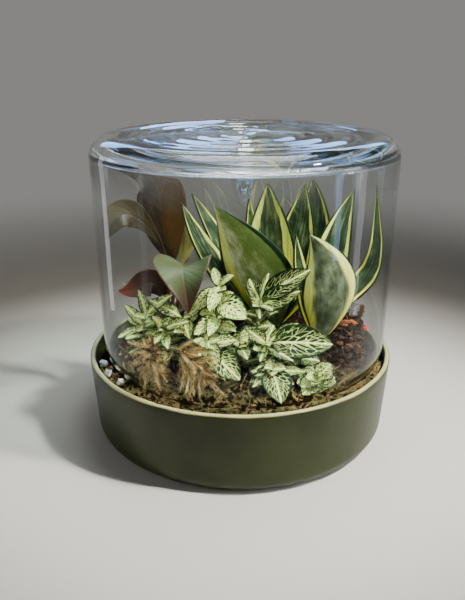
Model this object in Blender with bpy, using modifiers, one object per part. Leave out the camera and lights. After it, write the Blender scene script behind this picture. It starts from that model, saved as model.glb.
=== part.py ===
"""Dome terrarium: a glazed bowl of soil and small house plants under an upturned glass vessel.

All sizes are in millimetres and all angles in degrees; MM turns a length into metres when a mesh is made.
The origin is the centre of the bowl's underside, +Z is up and -Y is the front of the planting.
"""

import random
from collections import namedtuple
from math import cos, exp, pi, radians, sin

import bmesh
import bpy
from mathutils import Matrix, Vector
from mathutils.bvhtree import BVHTree

MM = 0.001
GAP = 0.3
MERGE = 0.02
ROUND_STEPS = 36
SHARP_ANGLE = 40

# Bowl
RIM_RADIUS = 150.0
BOWL_HEIGHT = 82.2
FOOT_RADIUS = 145.4
FOOT_ROUNDING = 15.9
WALL = 5.2
FLOOR = 6.0
FLOOR_ROUNDING = 11.0

# Glass dome, turned about an axis a little right of the bowl's
DOME_SHIFT = 3.5
DOME_TOP = 292.0
SHOULDER_RADIUS = 141.85
SHOULDER_ROUNDING = 19.0
WAIST_RADIUS = 139.05
WAIST_HEIGHT = 98.0
MOUTH_RADIUS = 131.5
MOUTH_HEIGHT = 76.0
GLASS_WALL = 3.6
LIP_ROUNDING = 1.0
CEILING_HEIGHT = 278.0
CEILING_ROUNDING = 10.0
RING_PITCH = 25.0
FIRST_RING = 30.0
LAST_RING = 105.0
RING_HEIGHT = 1.8
DIMPLE_DEPTH = 2.4
DRIP_TIP = 235.0
DRIP_OUTLINE = ((25.0, 276.6), (14.0, 258.0), (8.0, 245.0), (3.6, 236.6))

# Soil and the layer of stones under it
STONE_LAYER_TOP = FLOOR + FLOOR_ROUNDING
SEAT_LEVEL = MOUTH_HEIGHT - GAP
SEAT_INNER = 126.0
SEAT_OUTER = 132.5
EDGE_LEVEL = 66.0
SEAT_STEP = 0.1
SWELL = 14.0
MOUND_PLACE = (114.0, 3.0)
MOUND_HEIGHT = 29.0
MOUND_SPREAD = 24.0
SOIL_RINGS = (24.0, 48.0, 70.0, 88.0, 102.0, 113.0, 120.0, SEAT_INNER, SEAT_OUTER)
HOLE_DEPTH = 14.0
HOLE_ABOVE = 10.0
HOLE_ROOM = 0.5
FOOT_DEPTH = 12.0

# Blades
FITTONIA_THICK = 0.8
PHILODENDRON_THICK = 0.9
SNAKE_THICK = 2.0

Leaf = namedtuple("Leaf", "line width face cup peak wave", defaults=(1.0,))
Sprig = namedtuple("Sprig", "at tip width bow face", defaults=(0.16, (0, -0.6, 0.8)))
Stem = namedtuple("Stem", "foot bend top lower sprigs")

# Nerve plant: foot, bend and top of each stem, the directions of its lower leaves, and for each
# upper leaf the share of the stem that it grows at, its tip, its width, its bow and its face
FITTONIA_STEMS = (
    Stem((-92, -40), (-93, -44, 108), (-88, -46, 132), (20, 200), (
        Sprig(0.98, (-93, -52, 158), 9, face=(0.5, -0.8, 0.2)),
        Sprig(0.98, (-62, -48, 152), 10),
        Sprig(0.80, (-108, -41, 139), 9),
        Sprig(0.80, (-112, -60, 114), 8),
        Sprig(0.66, (-104, -68, 116), 10),
        Sprig(0.66, (-84, -22, 122), 11, face=(0, 0.5, 0.8)),
    )),
    Stem((-68, -50), (-70, -52, 104), (-70, -58, 122), (75,), (
        Sprig(0.98, (-46, -70, 134), 11),
        Sprig(0.98, (-80, -62, 136), 9),
        Sprig(0.90, (-77, -78, 116), 9),
        Sprig(0.90, (-65, -81, 112), 9),
        Sprig(0.70, (-58, -34, 122), 10, face=(0, 0.2, 0.9)),
    )),
    Stem((-28, -48), (-22, -48, 120), (-19, -47, 162), (10, 100), (
        Sprig(0.99, (-28, -66, 142), 13, 0.30, (-0.1, -0.9, 0.3)),
        Sprig(0.98, (-42, -54, 139), 13, 0.30, (-0.4, -0.9, 0.2)),
        Sprig(0.99, (-6, -52, 172), 8),
        Sprig(0.97, (-25, -36, 174), 9, face=(0, -0.9, 0.3)),
        Sprig(0.86, (5, -72, 138), 21, 0.25, (0.1, -0.85, 0.45)),
        Sprig(0.84, (-6, -54, 156), 10),
        Sprig(0.70, (-29, -80, 124), 12, 0.3, (0, -0.9, 0.35)),
        Sprig(0.70, (-42, -74, 123), 14, 0.3, (-0.1, -0.9, 0.35)),
        Sprig(0.60, (-4, -74, 126), 10),
        Sprig(0.60, (-30, -24, 138), 14, face=(0, 0.4, 0.8)),
    )),
    Stem((-22, -76), (-26, -74, 100), (-30, -76, 119), (280,), (
        Sprig(0.98, (-20, -94, 100), 13, 0.2, (-0.1, -0.8, 0.5)),
        Sprig(0.60, (2, -96, 120), 22, 0.1, (0.1, -0.8, 0.5)),
        Sprig(0.50, (-2, -106, 92), 8),
    )),
    Stem((12, -44), (16, -48, 116), (18, -46, 148), (60, 200), (
        Sprig(0.99, (62, -60, 180), 19, 0.12, (-0.1, -0.8, 0.5)),
        Sprig(0.90, (53, -64, 161), 20, 0.18, (0.1, -0.7, 0.6)),
        Sprig(0.99, (26, -42, 171), 9, face=(0, -0.9, 0.2)),
        Sprig(0.97, (8, -38, 164), 12, face=(0, -0.9, 0.2)),
        Sprig(0.92, (17, -66, 135), 8, face=(0, -0.8, 0.5)),
        Sprig(0.92, (33, -68, 142), 9),
        Sprig(0.70, (38, -30, 128), 14, face=(0, 0.2, 0.9)),
    )),
    Stem((22, -66), (22, -68, 100), (23, -70, 114), (80,), (
        Sprig(0.99, (81, -84, 118), 28, 0.10, (-0.1, -0.75, 0.6)),
        Sprig(0.94, (52, -66, 131), 10),
        Sprig(0.99, (30, -62, 128), 9, face=(0, -0.9, 0.2)),
        Sprig(0.98, (7, -72, 127), 13, face=(0, -0.9, 0.3)),
        Sprig(0.90, (17, -88, 103), 9),
        Sprig(0.84, (46, -94, 106), 12),
    )),
    Stem((28, -88), (28, -90, 88), (27, -92, 98), (), (
        Sprig(0.98, (34, -121, 80), 23, 0.22, (0.1, -0.8, 0.6)),
        Sprig(0.80, (56, -94, 96), 10),
        Sprig(0.70, (10, -108, 88), 9),
    )),
    Stem((66, -90), (67, -92, 84), (68, -93, 90), (), (
        Sprig(0.98, (79, -92, 103), 17, 0.1, (-0.2, -0.9, 0.3)),
        Sprig(0.98, (52, -104, 85), 13),
        Sprig(0.70, (84, -88, 87), 10),
    )),
    Stem((-48, -42), (-50, -44, 96), (-50, -48, 114), (100, 280), (
        Sprig(0.99, (-46, -70, 112), 11),
        Sprig(0.99, (-60, -38, 124), 11),
        Sprig(0.90, (-36, -40, 122), 11),
    )),
    Stem((0, -60), (-2, -62, 98), (-1, -66, 112), (90, 265), (
        Sprig(0.99, (14, -58, 124), 11),
        Sprig(0.99, (-18, -72, 110), 11),
        Sprig(0.90, (6, -86, 104), 12),
    )),
    Stem((50, -56), (50, -58, 98), (50, -58, 112), (30, 200), (
        Sprig(0.99, (70, -62, 118), 13),
        Sprig(0.99, (34, -56, 118), 12),
        Sprig(0.90, (64, -74, 100), 13),
    )),
)
STALK_RADII = (1.7, 1.3)
STALK_HOLE = 2.8
STALK_RISE = 8.0
LOWER_SHARE = 0.55
LOWER_LENGTH = 17.0
LOWER_WIDTH = 11.0
LOWER_DROOP = 2.0
LEAF_BOW = 0.2
LEAF_CUP = 0.3
LEAF_WAVE = 0.5
BROAD_LEAF = 18.0

# Snake plant rosettes: crown place and, for each leaf, its bend, its tip, its width, face and cup
Rosette = namedtuple("Rosette", "crown leaves")
Sword = namedtuple("Sword", "line width face cup", defaults=(None, 0.35))
SNAKE_ROSETTES = (
    Rosette((30, 24), (
        Sword(((19, -18, 164), (-24, -26, 231)), 67, (0.3, 0.5, 0.6), 0.30),
        Sword(((36, 44, 165), (28, 42, 239)), 50),
        Sword(((-34, 0, 160), (-56, 2, 227)), 34, (0.5, -0.6, 0.7), 0.3),
        Sword(((-20, 40, 172), (-48, 38, 228)), 30, (0.6, -0.6, 0.6), 0.3),
        Sword(((12, 62, 150), (10, 60, 222)), 24),
        Sword(((62, 50, 165), (66, 44, 237)), 36, (-0.25, -0.9, 0.1), 0.3),
        Sword(((90, 66, 165), (74, 58, 242)), 40, (-0.1, -0.9, 0.1)),
    )),
    Rosette((79, -14), (
        Sword(((98, -50, 160), (63, -38, 206)), 53, (-0.2, 0.6, 0.5), 0.35),
        Sword(((54, -30, 150), (52, -18, 201)), 24, (0.6, -0.7, 0.2)),
        Sword(((86, 14, 168), (114, 32, 234)), 34, (-0.3, -0.8, 0.4)),
        Sword(((108, 0, 150), (134, -3, 152), (138, -5, 158), (129, 1, 247)), 24, (-0.3, -0.6, 0.8), 0.15),
    )),
)
CROWN_RADIUS = 11.0
CROWN_RISE = 8.0
CROWN_SPREAD = 5.0
CROWN_SUNK = 2.5

# Philodendron: crown place and the leaves' lines from base to tip
PHILODENDRON_CROWN = (-72, 16)
PHILODENDRON_LEAVES = (
    Leaf(((-66, 18, 163), (-88, 26, 216), (-60, 22, 261), (-119, 8, 258)), 50, (0.2, -1, 0.1), 0.15, 0.8),
    Leaf(((-68, 2, 164), (-84, -4, 214), (-114, -12, 240), (-126, -18, 197)), 28, (-0.3, -0.5, 0.8), 0.2, 1.5),
    Leaf(((-52, -30, 174), (-54, -52, 188), (-50, -70, 178), (-46, -72, 143)), 58, (0, -0.7, 0.7), 0.25, 0.6),
    Leaf(((-76, 4, 130), (-86, 0, 166), (-102, -4, 134), (-120, -8, 142)), 30, (0, -1, 0.3), 0.2, 0.8),
    Leaf(((-58, 30, 158), (-50, 46, 190), (-66, 50, 224)), 26, (-0.4, -0.8, 0.2), 0.3, 0.8),
)
PETIOLE_BENDS = ((-70, 18, 120), (-78, 4, 120), (-60, -2, 130), (-84, 8, 104), (-62, 26, 120))
PETIOLE_RADII = (2.2, 1.7)
PETIOLE_ROOT = 3.0
PETIOLE_END = 8.0
STEM_RADIUS = 6.0
STEM_RISE = 9.0

# Loose pieces: place and half sizes of each
STONES = (
    ((-134.0, -33.0), (4.4, 4.8, 3.6)),
    ((-126.0, -56.0), (4.6, 5.2, 4.0)),
    ((-110.5, -77.0), (3.8, 4.0, 3.2)),
    ((-107.0, 4.0), (4.2, 4.6, 3.6)),
)
LUMP_ROUGH = 0.12
LUMP_START = 125.0
BARK_CHIP = ((108.0, -8.0), (13.0, 5.5, 3.0))
BARK_TIP = ((125.0, -9.0), (3.4, 3.6, 2.6))
BARK_SLIVER = ((-82.0, -66.0), (8.0, 3.4, 2.6))
HEATHER = ((113.0, 9.0), (121.0, 5.0))
HEATHER_HEIGHT = 17.0
HEATHER_RADII = (1.0, 0.7)
HEATHER_HOLE = 1.6
HEATHER_FOOT = 8.0
HEATHER_LEAN = 3.0
HEATHER_NEEDLES = 5
HEATHER_NEEDLE = (5.0, 3.5, 0.8)
GOLDEN_TURN = 137.5

# Dry tufts: the run of the core from top to foot, its radii, the number and length of the blades
Tuft = namedtuple("Tuft", "run radii blades length")
TUFTS = (
    Tuft(((-79, -62, 97), (-83, -72, 103), (-78, -82, 90)), (3.5, 4.5), 44, 19.0),
    Tuft(((-55, -72, 105), (-49, -88, 110), (-39, -104, 92)), (3.5, 4.5), 44, 20.0),
    Tuft(((-104, -40, 88), (-109, -50, 92), (-104, -58, 86)), (3.0, 4.0), 26, 11.0),
)
TUFT_REACH = 123.0
TUFT_STRAY = 1.0
TUFT_BLADE_RADIUS = 1.6
BLADE_LIFT = 2.5

# Sheet moss along the front
MOSS_SPAN = (-130.0, -40.0)
MOSS_RINGS = (94.0, 104.0, 111.0, 117.0)
MOSS_WOBBLE = 3.0
MOSS_BUMP = 2.2
MOSS_THICK = 1.6
MOSS_LIFT = 0.45
MOSS_BLADES = 50
MOSS_BLADE_LENGTH = 6.0
MOSS_BLADE_RADIUS = 1.0
MOSS_BLADE_SUNK = 0.6
MOSS_LEAN = 0.6
MOSS_COLUMNS = 14
MOSS_EDGE = 4.0
MOSS_CLEARANCE = 7.0


# Materials
def material(name, colour, roughness, metallic=0.0, transmission=0.0):
    """Principled material of one colour."""
    made = bpy.data.materials.new(name)
    made.use_nodes = True
    shader = made.node_tree.nodes["Principled BSDF"]
    shader.inputs["Base Color"].default_value = (*colour, 1.0)
    shader.inputs["Roughness"].default_value = roughness
    shader.inputs["Metallic"].default_value = metallic
    shader.inputs["Transmission Weight"].default_value = transmission
    made.diffuse_color = (*colour, 1.0)
    return made


# Scene helpers
def clear_scene():
    """Remove every object that the scene starts with."""
    for thing in list(bpy.data.objects):
        bpy.data.objects.remove(thing, do_unlink=True)


def collection(name):
    """New collection in the scene."""
    made = bpy.data.collections.new(name)
    bpy.context.scene.collection.children.link(made)
    return made


def evaluated_mesh(thing):
    """Mesh of an object as its modifiers leave it."""
    graph = bpy.context.evaluated_depsgraph_get()
    graph.update()
    return bpy.data.meshes.new_from_object(thing.evaluated_get(graph), depsgraph=graph)


def add_object(name, mesh, home, surface=None):
    """Object of a mesh, in a collection, with a material."""
    made = bpy.data.objects.new(name, mesh)
    home.objects.link(made)
    if surface:
        mesh.materials.clear()
        mesh.materials.append(surface)
    return made


def mesh_of(bm, name):
    """Mesh of a bmesh whose points are in millimetres."""
    bmesh.ops.scale(bm, vec=(MM, MM, MM), verts=bm.verts)
    mesh = bpy.data.meshes.new(name)
    bm.to_mesh(mesh)
    bm.free()
    return mesh


def smooth(mesh):
    """Smooth shading with sharp edges kept."""
    mesh.shade_smooth()
    mesh.set_sharp_from_angle(angle=radians(SHARP_ANGLE))


def bake(thing):
    """Put an object's modifiers and place into its mesh."""
    mesh = evaluated_mesh(thing)
    mesh.transform(thing.matrix_world)
    thing.modifiers.clear()
    thing.data = mesh
    thing.matrix_world = Matrix()
    return thing


# Shapes
def arc(centre, radius, start, end, points):
    """Points of an arc from one angle to another."""
    angles = [radians(start + (end - start) * i / (points - 1)) for i in range(points)]
    return [(centre[0] + radius * cos(a), centre[1] + radius * sin(a)) for a in angles]


def turned(name, outline, home, surface, shift=0.0):
    """Solid turned about Z from points of radius and height, outer side downwards."""
    mesh = bpy.data.meshes.new(name)
    points = [(r * MM, 0, z * MM) for r, z in outline]
    edges = [(i, i + 1) for i in range(len(points) - 1)]
    mesh.from_pydata(points, edges, [])
    made = add_object(name, mesh, home, surface)
    turn = made.modifiers.new("Turn", "SCREW")
    turn.steps = ROUND_STEPS
    turn.render_steps = ROUND_STEPS
    turn.use_merge_vertices = True
    turn.merge_threshold = MERGE * MM
    made.location.x = shift * MM
    bpy.context.view_layer.update()
    bake(made)
    smooth(made.data)
    return made


def bezier(line, t):
    """Point and direction at t of a quadratic or cubic Bezier line."""
    points = [Vector(p) for p in line]
    while len(points) > 2:
        points = [a.lerp(b, t) for a, b in zip(points, points[1:])]
    return points[0].lerp(points[1], t), (points[1] - points[0]).normalized()


def tube(line, radii, home, points=5):
    """Closed tube along a Bezier line, from one radius to another."""
    curve = bpy.data.curves.new("Tube", "CURVE")
    curve.dimensions = "3D"
    curve.bevel_depth = MM
    curve.bevel_resolution = 1
    curve.use_fill_caps = True
    spline = curve.splines.new("POLY")
    spline.points.add(points - 1)
    for i, point in enumerate(spline.points):
        t = i / (points - 1)
        point.co = (*(bezier(line, t)[0] * MM), 1)
        point.radius = radii[0] + (radii[1] - radii[0]) * t
    drawn = bpy.data.objects.new("Tube", curve)
    home.objects.link(drawn)
    mesh = evaluated_mesh(drawn)
    bpy.data.objects.remove(drawn)
    bm = bmesh.new()
    bm.from_mesh(mesh)
    bmesh.ops.remove_doubles(bm, verts=bm.verts, dist=MERGE * MM)
    bm.to_mesh(mesh)
    bm.free()
    return add_object("Tube", mesh, home)


def blade(line, width, face, outline, thick, home, rows, columns, cup=0.0, wave=0.0):
    """Leaf blade: a grid bent along a line, shaped by an outline, cupped towards its face and waved."""
    bm = bmesh.new()
    bmesh.ops.create_grid(bm, x_segments=columns, y_segments=rows, size=1.0)
    for vert in bm.verts:
        along = (vert.co.y + 1) / 2
        across = vert.co.x
        middle, ahead = bezier(line, along)
        side = ahead.cross(Vector(face)).normalized()
        up = side.cross(ahead)
        half = width / 2 * outline(along)
        ripple = wave * sin(2 * pi * WAVES * along) * min(half / wave, 1) * across if wave else 0
        vert.co = middle + side * half * across + up * (cup * half * across * across + ripple)
    bmesh.ops.remove_doubles(bm, verts=bm.verts, dist=MERGE)
    bmesh.ops.triangulate(bm, faces=bm.faces)
    made = add_object("Blade", mesh_of(bm, "Blade"), home)
    shell = made.modifiers.new("Thickness", "SOLIDIFY")
    shell.thickness = thick * MM
    shell.offset = 0
    return bake(made)


def needle(root, tip, radius, home):
    """Three-sided needle from a root to a tip."""
    bm = bmesh.new()
    run = Vector(tip) - Vector(root)
    turn = run.to_track_quat("Z", "Y").to_matrix().to_4x4()
    place = Matrix.Translation((Vector(root) + Vector(tip)) / 2) @ turn
    bmesh.ops.create_cone(
        bm, cap_ends=True, segments=3, radius1=radius, radius2=0, depth=run.length, matrix=place
    )
    return add_object("Needle", mesh_of(bm, "Needle"), home)


def main_body(mesh):
    """Drop every loose scrap but the body with the most vertices."""
    bm = bmesh.new()
    bm.from_mesh(mesh)
    unseen = set(bm.verts)
    bodies = []
    while unseen:
        body = [unseen.pop()]
        for vert in body:
            near = {edge.other_vert(vert) for edge in vert.link_edges} & unseen
            unseen -= near
            body.extend(near)
        bodies.append(body)
    bodies.sort(key=len)
    scraps = [vert for body in bodies[:-1] for vert in body]
    bmesh.ops.delete(bm, geom=scraps, context="VERTS")
    bm.to_mesh(mesh)
    bm.free()


def fused(name, pieces, home, surface, solver="EXACT"):
    """One body of overlapping pieces, joined by one union."""
    base = pieces[0]
    scratch = collection(name + "_pieces")
    for piece in pieces[1:]:
        scratch.objects.link(piece)
    join = base.modifiers.new("Join", "BOOLEAN")
    join.operation = "UNION"
    join.operand_type = "COLLECTION"
    join.collection = scratch
    join.solver = solver
    bake(base)
    main_body(base.data)
    for piece in pieces[1:]:
        bpy.data.objects.remove(piece)
    bpy.data.collections.remove(scratch)
    base.name = name
    base.data.name = name
    base.data.materials.clear()
    base.data.materials.append(surface)
    smooth(base.data)
    return base


# Leaf outlines, as shares of the width along the leaf
WAVES = 2.5
PETIOLE_SHARE = 0.12


def oval_outline(t):
    """Oval with a short point, on a narrow stalk."""
    if t < PETIOLE_SHARE:
        return 0.06 * t / PETIOLE_SHARE
    s = (t - PETIOLE_SHARE) / (1 - PETIOLE_SHARE)
    return max(sin(pi * s**0.85), 0) ** 0.75 if t < 1 else 0


def sword_outline(t):
    """Broad clasping base, widest below the middle, drawn out to a sharp tip."""
    if t < 0.42:
        return 0.36 + 0.64 * sin(pi / 2 * t / 0.42)
    return 1 - ((t - 0.42) / 0.58) ** 1.7


def heart_outline(peak):
    """Outline of a rounded base and a drawn-out tip; a low peak puts the widest place near the base."""
    return lambda t: (max(sin(pi * t**peak), 0) ** 0.8) * (1 - 0.25 * t) if 0 < t < 1 else 0


# Bowl
def bowl_inner_radius(height):
    """Radius of the bowl's inner wall above the rounding of its floor."""
    low = FOOT_RADIUS - WALL
    high = RIM_RADIUS - WALL
    return low + (high - low) * (height - STONE_LAYER_TOP) / (BOWL_HEIGHT - STONE_LAYER_TOP)


def floor_corner():
    """Arc between the bowl's inner floor and its inner wall."""
    radius = bowl_inner_radius(STONE_LAYER_TOP)
    return arc((radius - FLOOR_ROUNDING, STONE_LAYER_TOP), FLOOR_ROUNDING, -90, 0, 4)


def make_bowl(home, glaze):
    """Bowl turned from its floor, up inside, over the rim and down to the foot."""
    rim = arc((RIM_RADIUS - WALL / 2, BOWL_HEIGHT - WALL / 2), WALL / 2, 180, 0, 6)
    foot = arc((FOOT_RADIUS - FOOT_ROUNDING, FOOT_ROUNDING), FOOT_ROUNDING, 0, -90, 5)
    outline = [(0, FLOOR), *floor_corner(), *rim, *foot, (0, 0)]
    return turned("bowl", outline, home, glaze)


# Glass dome
def ripple_outline():
    """Top of the dome from its axis: a dimple, then rings a pitch apart, half a pitch a point."""
    points = [(0, DOME_TOP - DIMPLE_DEPTH)]
    radius = FIRST_RING - RING_PITCH / 2
    crest = False
    while radius <= LAST_RING:
        points.append((radius, DOME_TOP - (0 if crest else RING_HEIGHT)))
        radius += RING_PITCH / 2
        crest = not crest
    return points


def make_dome(home, glass):
    """Glass turned from the top, down outside, round the lip, up inside and down the hanging drip."""
    flat = SHOULDER_RADIUS - SHOULDER_ROUNDING
    shoulder = arc((flat, DOME_TOP - SHOULDER_ROUNDING), SHOULDER_ROUNDING, 90, 0, 4)
    neck_drop = WAIST_HEIGHT - MOUTH_HEIGHT
    neck_in = WAIST_RADIUS - MOUTH_RADIUS
    neck = [(WAIST_RADIUS - neck_in * (s * s), WAIST_HEIGHT - neck_drop * s) for s in (0, 0.55, 0.92)]
    lip_inner = MOUTH_RADIUS - GLASS_WALL + LIP_ROUNDING
    lip = [(MOUTH_RADIUS - LIP_ROUNDING, MOUTH_HEIGHT), (lip_inner, MOUTH_HEIGHT)]
    inside = [(r - GLASS_WALL, z) for r, z in reversed(neck)]
    wall_top = CEILING_HEIGHT - CEILING_ROUNDING
    inner = SHOULDER_RADIUS - GLASS_WALL
    ceiling = arc((inner - CEILING_ROUNDING, wall_top), CEILING_ROUNDING, 0, 90, 3)
    outline = [*ripple_outline(), *shoulder, *neck, *lip, *inside, *ceiling, *DRIP_OUTLINE, (0, DRIP_TIP)]
    return turned("glass_dome", outline, home, glass, DOME_SHIFT)


# Ground
def soil_level(x, y):
    """Height of the soil: a flat seat under the dome's lip, a swell inside it and a mound at the right."""
    out = Vector((x - DOME_SHIFT, y)).length
    if out > SEAT_OUTER:
        return SEAT_LEVEL + (EDGE_LEVEL - SEAT_LEVEL) * (out - SEAT_OUTER) / (RIM_RADIUS - WALL - SEAT_OUTER)
    if out > SEAT_INNER:
        return SEAT_LEVEL
    fade = min((SEAT_INNER - out) / 4, 1)
    near = ((x - MOUND_PLACE[0]) ** 2 + (y - MOUND_PLACE[1]) ** 2) / (2 * MOUND_SPREAD**2)
    return SEAT_LEVEL + SWELL * (1 - (out / SEAT_INNER) ** 2) + MOUND_HEIGHT * exp(-near) * fade


def make_stone_layer(home, stone):
    """Layer of stones that fills the rounded floor of the bowl."""
    top = STONE_LAYER_TOP
    side = [(r - GAP, z + GAP) for r, z in reversed(floor_corner()[:-1])]
    wall = bowl_inner_radius(top) - GAP
    outline = [(0, top), (wall, top), *side, (0, FLOOR + GAP)]
    return turned("drainage_stones", outline, home, stone)


def make_soil(home, cutters, earth):
    """Soil turned as a flat body, raised to its level and drilled for the stems."""
    low = STONE_LAYER_TOP + GAP
    top = [(r, SEAT_LEVEL) for r in SOIL_RINGS]
    wall = [(bowl_inner_radius(EDGE_LEVEL) - GAP, EDGE_LEVEL), (bowl_inner_radius(low) - GAP, low)]
    made = turned("soil", [(0, SEAT_LEVEL), *top, *wall, (0, low)], home, earth)
    for vert in made.data.vertices:
        x, y, z = vert.co / MM
        if z > EDGE_LEVEL + 1:
            shifted = x + DOME_SHIFT * (1 if Vector((x, y)).length < SEAT_OUTER + 1 else 0.5)
            vert.co = Vector((shifted, y, soil_level(shifted, y))) * MM
    drill = made.modifiers.new("Holes", "BOOLEAN")
    drill.operand_type = "COLLECTION"
    drill.collection = cutters
    drill.solver = "EXACT"
    return made


class Ground:
    """Top of the pieces as modelled, for others that stand or lie on them."""

    def __init__(self, pieces):
        bm = bmesh.new()
        for piece in pieces:
            bm.from_mesh(piece.data)
        self.tree = BVHTree.FromBMesh(bm)
        bm.free()

    def height(self, x, y):
        """Height of the ground at a place."""
        return self.tree.ray_cast(Vector((x, y, DOME_TOP)) * MM, Vector((0, 0, -1)))[0].z / MM

    def touches(self, thing):
        """Whether a piece crosses the ground."""
        bm = bmesh.new()
        bm.from_mesh(thing.data)
        crossed = bool(self.tree.overlap(BVHTree.FromBMesh(bm)))
        bm.free()
        return crossed

    def seat(self, thing):
        """Lower a piece in small steps until it would touch, then lift it by the gap."""
        down = Matrix.Translation((0, 0, -SEAT_STEP * MM))
        while not self.touches(thing):
            thing.data.transform(down)
        thing.data.transform(Matrix.Translation((0, 0, (SEAT_STEP + GAP) * MM)))


def drill_hole(place, radius, ground, cutters, sides=8):
    """Cutter of the plain hole that a foot stands in."""
    top = ground.height(*place)
    bm = bmesh.new()
    centre = Matrix.Translation((*place, top + (HOLE_ABOVE - HOLE_DEPTH) / 2))
    depth = HOLE_DEPTH + HOLE_ABOVE
    bmesh.ops.create_cone(
        bm, cap_ends=True, segments=sides, radius1=radius, radius2=radius, depth=depth, matrix=centre
    )
    made = add_object("hole_cutter", mesh_of(bm, "hole_cutter"), cutters)
    made.hide_render = True
    made.display_type = "WIRE"


# Plants
def fittonia_leaf(root, tip, width, bow, face, home):
    """Oval blade that bows towards its face between its root and its tip."""
    along = tip - root
    up = Vector(face) - Vector(face).project(along)
    bend = (root + tip) / 2 + up.normalized() * bow * along.length
    line = (root, bend, tip)
    rows = 6 if width > BROAD_LEAF else 4
    return blade(
        line, width, face, oval_outline, FITTONIA_THICK, home, rows, 2, LEAF_CUP, LEAF_WAVE
    )


def make_fittonia(number, plan, ground, home, cutters, leafy):
    """Leafy stem of the nerve plant: a tube in its hole with blades sunk into it."""
    x, y = plan.foot
    drill_hole(plan.foot, STALK_HOLE, ground, cutters)
    level = ground.height(x, y)
    line = ((x, y, level - FOOT_DEPTH), (x, y, level + STALK_RISE), plan.bend, plan.top)
    pieces = [tube(line, STALK_RADII, home)]
    for sprig in plan.sprigs:
        root = bezier(line, sprig.at)[0]
        pieces.append(fittonia_leaf(root, Vector(sprig.tip), sprig.width, sprig.bow, sprig.face, home))
    for side in plan.lower:
        turn = radians(side)
        root = bezier(line, LOWER_SHARE)[0]
        tip = root + Vector((LOWER_LENGTH * cos(turn), LOWER_LENGTH * sin(turn), -LOWER_DROOP))
        pieces.append(fittonia_leaf(root, tip, LOWER_WIDTH, LEAF_BOW, (0, -0.2, 1), home))
    return fused(f"fittonia_{number}", pieces, home, leafy)


def crown(place, radius, rise, ground, home):
    """Short round crown from inside its hole to a little above the soil."""
    top = ground.height(*place) + rise
    bm = bmesh.new()
    depth = FOOT_DEPTH + rise
    centre = Matrix.Translation((*place, top - depth / 2))
    bmesh.ops.create_cone(
        bm, cap_ends=True, segments=12, radius1=radius, radius2=radius * 0.8, depth=depth, matrix=centre
    )
    return add_object("Crown", mesh_of(bm, "Crown"), home)


def make_rosette(number, plan, ground, home, cutters, leafy):
    """Rosette of the snake plant: channelled blades round a crown."""
    middle = Vector((*plan.crown, ground.height(*plan.crown) + CROWN_RISE - CROWN_SUNK))
    drill_hole(plan.crown, CROWN_RADIUS + HOLE_ROOM, ground, cutters, 12)
    pieces = [crown(plan.crown, CROWN_RADIUS, CROWN_RISE, ground, home)]
    for sword in plan.leaves:
        out = Vector((sword.line[0][0] - middle.x, sword.line[0][1] - middle.y, 0)).normalized()
        face = sword.face or (-out.x, -out.y, 0.3)
        line = (middle + out * CROWN_SPREAD, *sword.line)
        pieces.append(
            blade(line, sword.width, face, sword_outline, SNAKE_THICK, home, 7, 4, sword.cup)
        )
    return fused(f"snake_plant_{number}", pieces, home, leafy)


def make_philodendron(ground, home, cutters, stalk, leafy):
    """Crown with its leaf stalks, and each leaf a gap from the end of its own stalk."""
    drill_hole(PHILODENDRON_CROWN, STEM_RADIUS + HOLE_ROOM, ground, cutters, 12)
    pieces = [crown(PHILODENDRON_CROWN, STEM_RADIUS, STEM_RISE, ground, home)]
    start = Vector((*PHILODENDRON_CROWN, ground.height(*PHILODENDRON_CROWN) + PETIOLE_ROOT))
    for number, (leaf, bend) in enumerate(zip(PHILODENDRON_LEAVES, PETIOLE_BENDS), 1):
        base, ahead = bezier(leaf.line, 0)
        end = base - ahead * GAP
        line = (start, bend, end - ahead * PETIOLE_END, end)
        pieces.append(tube(line, PETIOLE_RADII, home, 6))
        made = blade(
            leaf.line, leaf.width, leaf.face, heart_outline(leaf.peak), PHILODENDRON_THICK, home, 9, 4,
            leaf.cup, leaf.wave,
        )
        made.name = f"philodendron_leaf_{number}"
        made.data.materials.append(leafy)
        smooth(made.data)
    return fused("philodendron_stems", pieces, home, stalk)


# Loose pieces and dry plants
def make_lump(name, place, half, ground, home, surface, seed):
    """Rough rounded piece that lies on the soil."""
    draw = random.Random(seed)
    bm = bmesh.new()
    bmesh.ops.create_icosphere(bm, subdivisions=2, radius=1.0)
    for vert in bm.verts:
        vert.co *= 1 + draw.uniform(-LUMP_ROUGH, LUMP_ROUGH)
        vert.co = Vector((vert.co.x * half[0], vert.co.y * half[1], vert.co.z * half[2]))
        vert.co += Vector((*place, LUMP_START))
    made = add_object(name, mesh_of(bm, name), home, surface)
    ground.seat(made)
    smooth(made.data)
    return made


def kept_inside(point, ground):
    """Point drawn in from the glass and up from the soil."""
    out = Vector((point.x - DOME_SHIFT, point.y))
    if out.length > TUFT_REACH:
        out *= TUFT_REACH / out.length
    x = out.x + DOME_SHIFT
    return Vector((x, out.y, max(point.z, ground.height(x, out.y) + BLADE_LIFT)))


def make_tuft(number, plan, ground, home, straw):
    """Dry tuft: a slim core along its run, and blades that stand out of it along the run."""
    draw = random.Random(40 + number)
    pieces = [tube(plan.run, plan.radii, home)]
    for _ in range(plan.blades):
        t = draw.random()
        root, ahead = bezier(plan.run, t)
        stray = Vector((draw.gauss(0, 1), draw.gauss(0, 1), draw.gauss(0, 1)))
        way = (ahead + stray.normalized() * TUFT_STRAY).normalized()
        reach = plan.radii[0] + (plan.radii[1] - plan.radii[0]) * t
        tip = root + way * (reach + plan.length * draw.uniform(0.5, 1))
        pieces.append(needle(root, kept_inside(tip, ground), TUFT_BLADE_RADIUS, home))
    made = fused(f"straw_tuft_{number}", pieces, home, straw, "MANIFOLD")
    ground.seat(made)
    return made


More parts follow.
